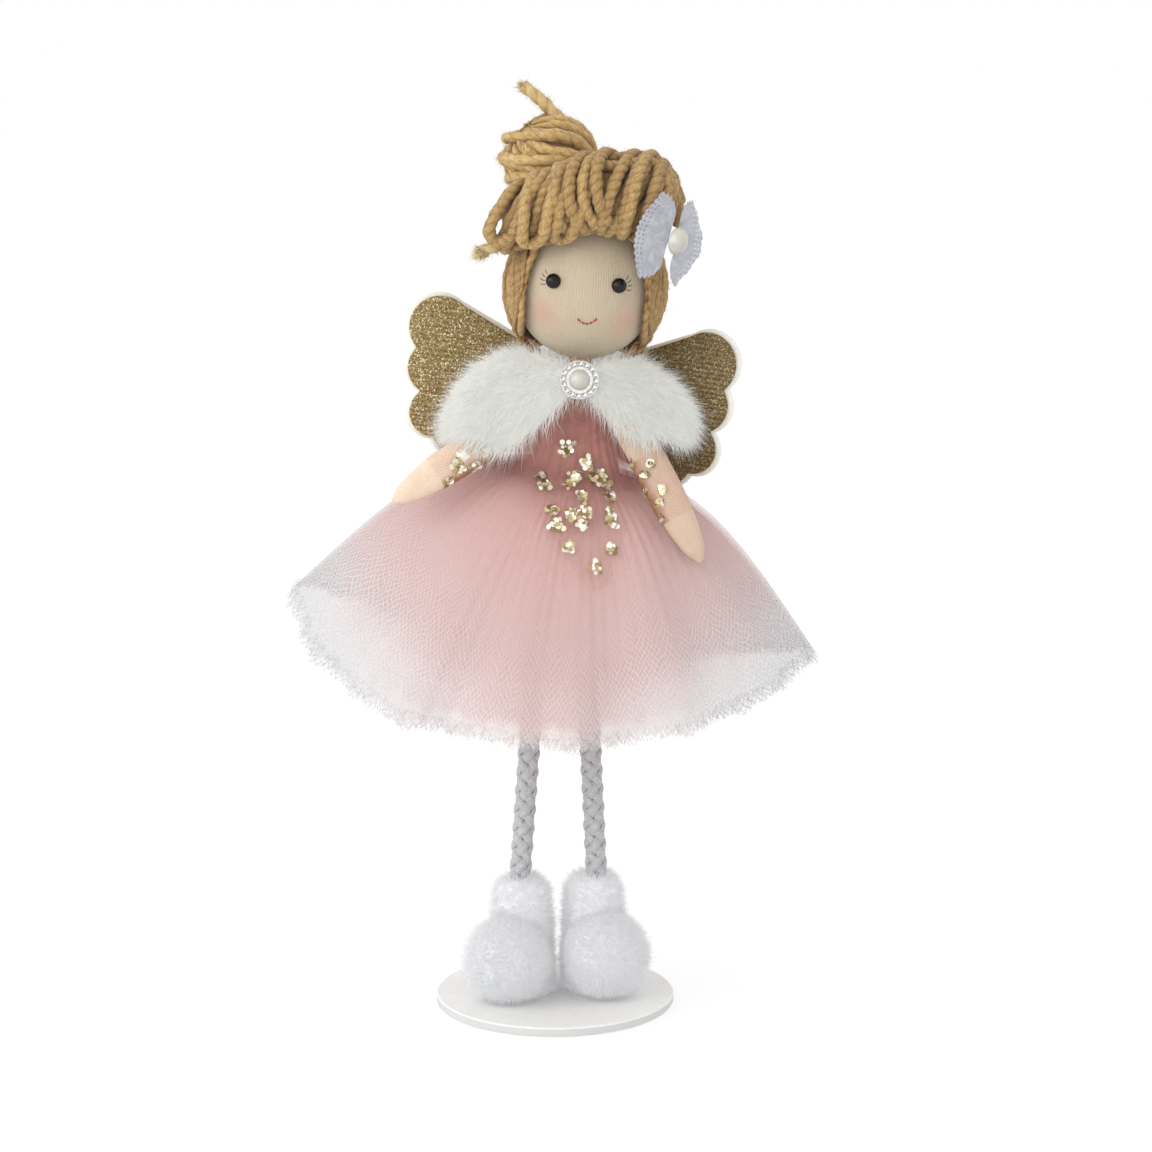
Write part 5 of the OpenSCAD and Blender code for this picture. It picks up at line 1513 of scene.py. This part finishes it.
def over_roll(x, turn, off):
    """Points at x along the roll and an angle round it, 0 in front and 90 on top, off its surface."""
    held = np.clip(x, roll_from - 1.0, roll_to + 0.5)
    hump = 1.4 * bell(held, 14.0, 7.0) * np.maximum(np.sin(turn), 0.0)
    away = (roll_swell(held) + off + hump) * roll_end(x)
    out = np.stack([x - held, -away * np.cos(turn), away * np.sin(turn)], axis=-1)
    return on_head(roll_middle(held) + out)


def loop_yarn(paths, over):
    """The thick soft yarn of the loops, laid along paths."""
    # Their darker share is a painted shade.
    return plied(paths, over, radius=loop_radius, sides=18, turn_every=4.6, plies=2, depth=0.13, darker=0.3)


def hairpins(seat, tilt, wide, low, high, lift):
    """Loops over the roll: down one leg, round a half circle at the low end and up the other leg. Tilt
    leans them to the right, and lift raises the low end off the roll."""
    girth = 9.2
    leg = girth * (high - low) - wide / 2
    whole = 2 * leg + np.pi * wide / 2
    run = whole * np.linspace(0.0, 1.0, 130)
    bend = np.clip((run - leg) / (wide / 2), 0.0, np.pi)
    beside = -wide / 2 * np.cos(bend)
    on_leg = np.maximum(leg - run, 0.0) + np.maximum(run - leg - np.pi * wide / 2, 0.0)
    above = on_leg - wide / 2 * np.sin(bend)
    x = seat + beside * np.cos(tilt) + above * np.sin(tilt)
    turn = low + (above * np.cos(tilt) - beside * np.sin(tilt) + wide / 2) / girth
    off = loop_radius - 0.5 + lift * (0.35 + bell(above, 0.0, 9.0))
    wave = 0.35 * np.sin(run / 3.1 + 4.0 * seat)
    paths = over_roll(x + wave, turn, off + 0.0 * x)
    return loop_yarn(paths, over_roll(x + wave, turn, off + 1.0) - paths)


def locks(seat, slope, bow, low, high, lift):
    """Strands over the roll from the high angle to the low one: they slope to the left as they come down,
    bow out to the left half way, and tuck in under the roll."""
    share = np.linspace(1.0, -1.0, 90)
    turn = (low + high) / 2 + share * (high - low) / 2
    arch = 1 - share * share
    x = seat + slope * share - bow * arch + 0.3 * np.sin(4.0 * share + 3.0 * seat)
    off = loop_radius - 0.6 + lift * (0.25 + arch) - 1.2 * np.clip(-share - 0.85, 0.0, 1.0) / 0.15
    paths = over_roll(x, turn, off)
    return loop_yarn(paths, over_roll(x, turn, off + 1.0) - paths)


def column(*values):
    """The values as one column, one for each strand."""
    return np.array(values)[:, None]


left_low = np.radians(column(-30.0, -74.0, -48.0, -80.0, -58.0))
left_part = hairpins(seat=column(-22.6, -19.0, -14.6, -11.0, -6.8), tilt=column(0.42, 0.3, 0.12, 0.34, 0.28),
                     wide=column(7.0, 5.0, 6.4, 4.8, 5.4), low=left_low, high=np.radians(150.0),
                     lift=column(1.2, 0.4, 2.8, 0.7, 2.2))
arc_low = np.radians(column(-72.0, -60.0, -50.0, -38.0))
arc_part = locks(seat=column(-1.0, 1.6, 4.2, 6.0), slope=column(1.5, 1.0, 0.8, 0.6),
                 bow=column(8.6, 7.6, 6.8, 5.2), low=arc_low, high=np.radians(118.0),
                 lift=column(2.0, 3.2, 2.4, 3.4))
right_low = np.radians(column(-80.0, -66.0, -84.0, -60.0, -72.0, -82.0, -64.0, -78.0, -58.0))
right_part = locks(seat=column(5.4, 8.4, 10.4, 12.2, 13.8, 15.6, 17.2, 18.8, 20.2),
                   slope=column(8.0, 6.0, 7.0, 5.2, 5.6, 4.2, 3.8, 2.6, 1.6),
                   bow=column(0.0, 2.2, -0.6, 1.4, 2.4, -0.8, 1.2, -0.6, 0.4), low=right_low,
                   high=np.radians(140.0), lift=column(0.8, 2.2, 0.6, 1.6, 2.4, 0.7, 2.0, 0.8, 1.4))

under_x = np.linspace(roll_from + 3.0, roll_to - 2.0, 19)[:, None]
under_turn = np.radians(np.linspace(-52.0, 250.0, 80))
under_lean = 3.0 * np.sin(under_turn) + 0.8 * np.sin(2 * under_turn + under_x)
under_paths = over_roll(under_x + under_lean, under_turn + 0.0 * under_x, 0.3)
under_over = over_roll(under_x + under_lean, under_turn + 0.0 * under_x, 1.3) - under_paths
under_part = plied(under_paths, under_over, radius=loop_radius, sides=12, turn_every=9.0, plies=2, depth=0.11)
# Painted shade: the strands under the loops are kept at least half way to the dark colour.
under_part["shade"] = np.maximum(under_part["shade"], 0.5)

# The cords that lie lengthwise along the top of the roll, from the topknot to the bow
top_turn = np.radians(column(66.0, 88.0, 110.0, 134.0))
top_x = np.linspace(-3.0, 23.2, 80)
top_lift = 2.6
top_wave = top_turn + 0.16 * np.sin(top_x / 4.0 + 3.0 * top_turn)
top_wave = top_wave - 1.5 * np.clip((top_x - 13.0) / 10.0, 0.0, 1.0) ** 2
top_paths = over_roll(top_x + 0.0 * top_wave, top_wave, top_lift)
top_part = loop_yarn(top_paths, over_roll(top_x + 0.0 * top_wave, top_wave, top_lift + 1.0) - top_paths)
loop_fuzz = [fuzz(part, 1900, 1.3) for part in (left_part, arc_part, right_part, top_part)]
make_piece("yarn_loops", [left_part, arc_part, right_part, under_part, top_part] + loop_fuzz, yarn,
           "head_and_hair", ["hair_loops"])

end_start = roll_middle(np.array(roll_from)) + np.array((-0.6, -1.6, -5.6))
end_share = np.linspace(-0.6, 3.0, 40)[:, None]
end_sway = 0.3 * np.sin(2.0 * end_share) * np.array((1.0, 0.0, 0.4))
end_path = on_head(end_start + end_share * np.array((-1.3, -0.2, -0.8)) + end_sway)[None]
end_part = plied(end_path, np.broadcast_to((0.0, -1.0, 0.0), end_path.shape), radius=1.75, sides=16,
                 turn_every=7.0, plies=2, darker=-0.6)
fray_count = 420
fray_way = unit(np.array((-1.3, -0.25, -0.6)) + 0.6 * fuzz_dice.normal(size=(fray_count, 3)))
fray_roots = end_path[0, -4] + 0.75 * fuzz_dice.normal(size=(fray_count, 3))
fray_bend = 0.2 * fuzz_dice.normal(size=(fray_count, 3))
fray_lengths = fuzz_dice.uniform(1.2, 3.2, fray_count)
fray = hairs(fray_roots, fray_way, fray_bend, fray_lengths, np.full(fray_count, 0.07), fuzz_dice)
fray["shade"] = 0.0 * fray["shade"] - 0.8
make_piece("frayed_end", [end_part, fray, fuzz(end_part, 220, 1.6)], yarn, "head_and_hair", ["hair_end"])


# Topknot
# A ball of wool sits on the crown, wound with brushed yarn that runs slantwise over it. A few turns lie
# round its left side, and the loose end of the yarn stands up from the top.
bun_seat = np.array((-11.5, 10.0, 32.5))
wind_radius = 11.0
wind_thick = 1.6
wrap_radius = 12.2
bun_radius = wind_radius - 0.3
bun_shape = ball_outline(90)[::2] * bun_radius
bun_shape[-1] = (0.0, bun_radius)
# Painted shade: the ball under the winding is coloured dark.
bun_core = grid(on_head(turned_form(bun_shape, bun_seat, 48)), True, 60.0, 30.0, 0.6)
make_piece("bun_core", [bun_core], yarn, "head_and_hair", ["hair_bun"])


def round_ball(middle, pole, turn, fall, far):
    """Points on a ball: turn runs about the pole, fall goes from the pole to its opposite."""
    side = unit(np.cross(pole, (0.0, -1.0, 0.0)))
    front = np.cross(pole, side)
    level = np.cos(turn)[..., None] * side + np.sin(turn)[..., None] * front
    return middle + far[..., None] * (np.sin(fall)[..., None] * level + np.cos(fall)[..., None] * pole)


wind_count = 22
wind_turn = (turns(wind_count) + 0.1 * np.sin(np.arange(wind_count) * 2.1))[:, None]
wind_fall = np.radians(np.linspace(14.0, 166.0, 60)) + 0.0 * wind_turn
wind_spiral = wind_turn + 0.55 * (wind_fall - np.pi / 2) + 0.08 * np.sin(3 * wind_fall + 4 * wind_turn)
wind_far = wind_radius + 0.4 * np.sin(7.0 * wind_turn + 1.5 * wind_fall)
wind_pole = unit(np.array((-0.68, -0.15, 0.7)))
wind_paths = on_head(round_ball(bun_seat, wind_pole, wind_spiral, wind_fall, wind_far))
wind_taper = wind_thick * np.clip(np.sin(wind_fall) * 1.2, 0.3, 1.0)
# The winding's darker share is a painted shade.
wind_part = plied(wind_paths, wind_paths - on_head(bun_seat), radius=wind_taper, sides=16, turn_every=11.0,
                  plies=3, depth=0.1, darker=0.1)

wrap_count = 4
wrap_rise = np.linspace(-5.5, 5.0, wrap_count)[:, None]
wrap_angle = np.radians(np.linspace(95.0, 318.0, 70))
wrap_height = wrap_rise + 1.6 * np.sin(wrap_angle + 0.6 * wrap_rise)
wrap_far = np.sqrt(np.maximum(wrap_radius**2 - wrap_height**2, 20.0)) - 0.2
wrap_far = wrap_far + 0.5 * np.sin(3 * wrap_angle + wrap_rise)
wrap_far = wrap_far - 2.6 * np.clip((wrap_angle - np.radians(270.0)) / 0.8, 0.0, 1.0) ** 2
wrap_points = bun_seat + around(wrap_far, wrap_angle, wrap_height)
wrap_paths = on_head(wrap_points + np.array((-0.5, 0.0, 0.0)))
wrap_part = plied(wrap_paths, wrap_paths - on_head(bun_seat), radius=1.5, sides=16, turn_every=8.0, plies=2,
                  depth=0.14)
bun_fuzz = [fuzz(wind_part, 5200, 1.6), fuzz(wrap_part, 1800, 1.5)]
make_piece("bun_winding", [wind_part, wrap_part] + bun_fuzz, yarn, "head_and_hair", ["hair_bun_wrap"])

tail_line = bun_seat + np.array(((2.0, 0.0, 10.0), (-1.0, -0.4, 13.6), (-5.0, -0.8, 16.6),
                                 (-9.0, -1.0, 19.0)))
tail_share = np.linspace(0.0, 1.0, 50)
tail_path = on_head(bezier(tail_line, tail_share))[None]
tail_thick = np.interp(tail_share, (0.0, 0.8, 1.0), (1.8, 1.75, 1.45))[None]
tail_over = np.broadcast_to((0.0, -1.0, 0.0), tail_path.shape)
tail_part = plied(tail_path, tail_over, radius=tail_thick, sides=18, turn_every=7.5, plies=2, darker=-0.3)
tip_count = 160
tip_roots = tail_path[0, -3] + 0.6 * fuzz_dice.normal(size=(tip_count, 3))
tip_way = unit(np.array((-0.8, 0.0, 0.55)) + 0.5 * fuzz_dice.normal(size=(tip_count, 3)))
tip_bend = 0.2 * fuzz_dice.normal(size=(tip_count, 3))
tip_lengths = fuzz_dice.uniform(0.8, 2.0, tip_count)
tail_tip = hairs(tip_roots, tip_way, tip_bend, tip_lengths, np.full(tip_count, 0.06), fuzz_dice)
tail_tip["shade"] = 0.0 * tail_tip["shade"] - 0.4
make_piece("bun_tail", [tail_part, tail_tip, fuzz(tail_part, 420, 1.5)], yarn, "head_and_hair", ["hair_tail"])


# Lace bow
# A strip of stiff bluish-white lace is folded into two halves and tied in the middle, with a pearl sewn
# over the tie. It is stitched to the right end of the roll.
bow_seat = np.array((21.5, -21.8, 16.0))
bow_pitch = np.radians(12.0)


def bow_place(points, yaw, side):
    """Points of one half of the bow, pitched and turned about its middle."""
    x, y, z = np.moveaxis(points * np.array((side, 1.0, 1.0)), -1, 0)
    pitched_x, pitched_z = turned_by(x, z, bow_pitch)
    turned_y, turned_x = turned_by(y, pitched_x, yaw)
    return on_head(np.stack([turned_x, turned_y, pitched_z], axis=-1) + bow_seat)


# Lace: a fine ground of small round eyelets, with two rows of larger ones along the outer edge
lace, lace_tree, lace_shader = new_finish("white_lace", 0.85, Sheen_Weight=0.1)
lace_base = mottled(lace_tree, lace_shader, tone(128, 130, 138), tone(164, 166, 174), 900.0, 0.08)
lace_cloth = cloth_of(lace_tree)


def lace_vector(operation, first, second=(0.0, 0.0, 0.0)):
    """The outputs of a Vector Math node of the lace."""
    return put(lace_tree, "ShaderNodeVectorMath", {0: first, 1: second}, operation=operation).outputs


def eyelets(pitch, hole):
    """A mask that is 0 in round holes, one every pitch mm both ways, and 1 between them."""
    cells = lace_vector("DIVIDE", lace_cloth, (pitch, pitch, 1.0))["Vector"]
    away = lace_vector("DISTANCE", lace_vector("FRACTION", cells)["Vector"], (0.5, 0.5, 0.0))["Value"]
    return spread(lace_tree, away, hole - 0.05, hole + 0.05)


lace_ground = eyelets(pitch=0.6, hole=0.24)
lace_border = eyelets(pitch=1.2, hole=0.26)
lace_out = shade_of(lace_tree)
lace_at_edge = spread(lace_tree, lace_out, 0.72, 0.76)
lace_motif = noise(lace_tree, lace_cloth, 0.42, 1.0)
lace_solid = maths(lace_tree, "MAXIMUM", lace_ground, spread(lace_tree, lace_motif, 0.5, 0.56))
lace_inner = maths(lace_tree, "MAXIMUM", lace_solid, lace_at_edge)
lace_outer = maths(lace_tree, "MAXIMUM", lace_border, maths(lace_tree, "SUBTRACT", 1.0, lace_at_edge))
lace_mask = maths(lace_tree, "MULTIPLY", lace_inner, lace_outer)
lace_tree.links.new(spread(lace_tree, lace_mask, 0.0, 1.0, 0.6, 1.0), lace_shader.inputs["Alpha"])
lace_dense = maths(lace_tree, "MULTIPLY", lace_solid, 0.6)
tint(lace_tree, lace_shader, lace_dense, lace_base, tone(190, 191, 198))

bow_columns = 120
bow_rows = 50
bow_half_cut = 11.25
bow_across = np.linspace(-1.0, 1.0, bow_columns)
bow_out = np.linspace(0.02, 1.0, bow_rows)[:, None]
scallop = 1.0 + 0.06 * np.abs(np.sin(7 * np.pi * bow_across)) * bow_out**4
for side_name, side, yaw, long, cut, curl in (("left", -1.0, 10.0, 8.6, 0.36, 1.5),
                                               ("right", 1.0, 46.0, 7.4, 0.5, -1.3)):
    reach = bow_out * long * (1 - cut * bow_across**2) * scallop + 1.0
    folds = 0.95 * np.sin(4.5 * np.pi * bow_across + 0.6) * bow_out**0.7 * (1.25 - bow_out)
    depth = curl * np.cos(np.pi * bow_across) * bow_out - 1.2 * bow_out + folds
    height = bow_across * (3.4 + 7.9 * np.sin(np.pi / 2 * bow_out) ** 0.28)
    height = height * (1 + 0.03 * np.sin(9 * np.pi * bow_out))
    bow_sheet = bow_place(np.stack([reach, depth, height], axis=-1), np.radians(yaw), side)
    bow_part = grid(bow_sheet[None], False, bow_half_cut * bow_across, 10.0, bow_out)
    bow_piece = make_piece("lace_half_" + side_name, [bow_part], lace, "head_and_hair", ["bow_" + side_name])
dress("bow_knot", lace)

pearl_yaw = np.radians(38.0)
pearl_radius = 3.2
pearl_off = 1.6
bow_pearl = turned_form(dome_outline(pearl_radius), (0.0, 0.0, pearl_off), 48)
bow_pearl = np.stack([0.88 * bow_pearl[..., 0], -bow_pearl[..., 2], 1.12 * bow_pearl[..., 1]], axis=-1)
bow_pearl_part = grid(bow_place(bow_pearl, pearl_yaw, 1.0), True, 20.0, 8.0)
make_piece("bow_pearl_dome", [bow_pearl_part], pearl, "head_and_hair", ["bow_pearl"])
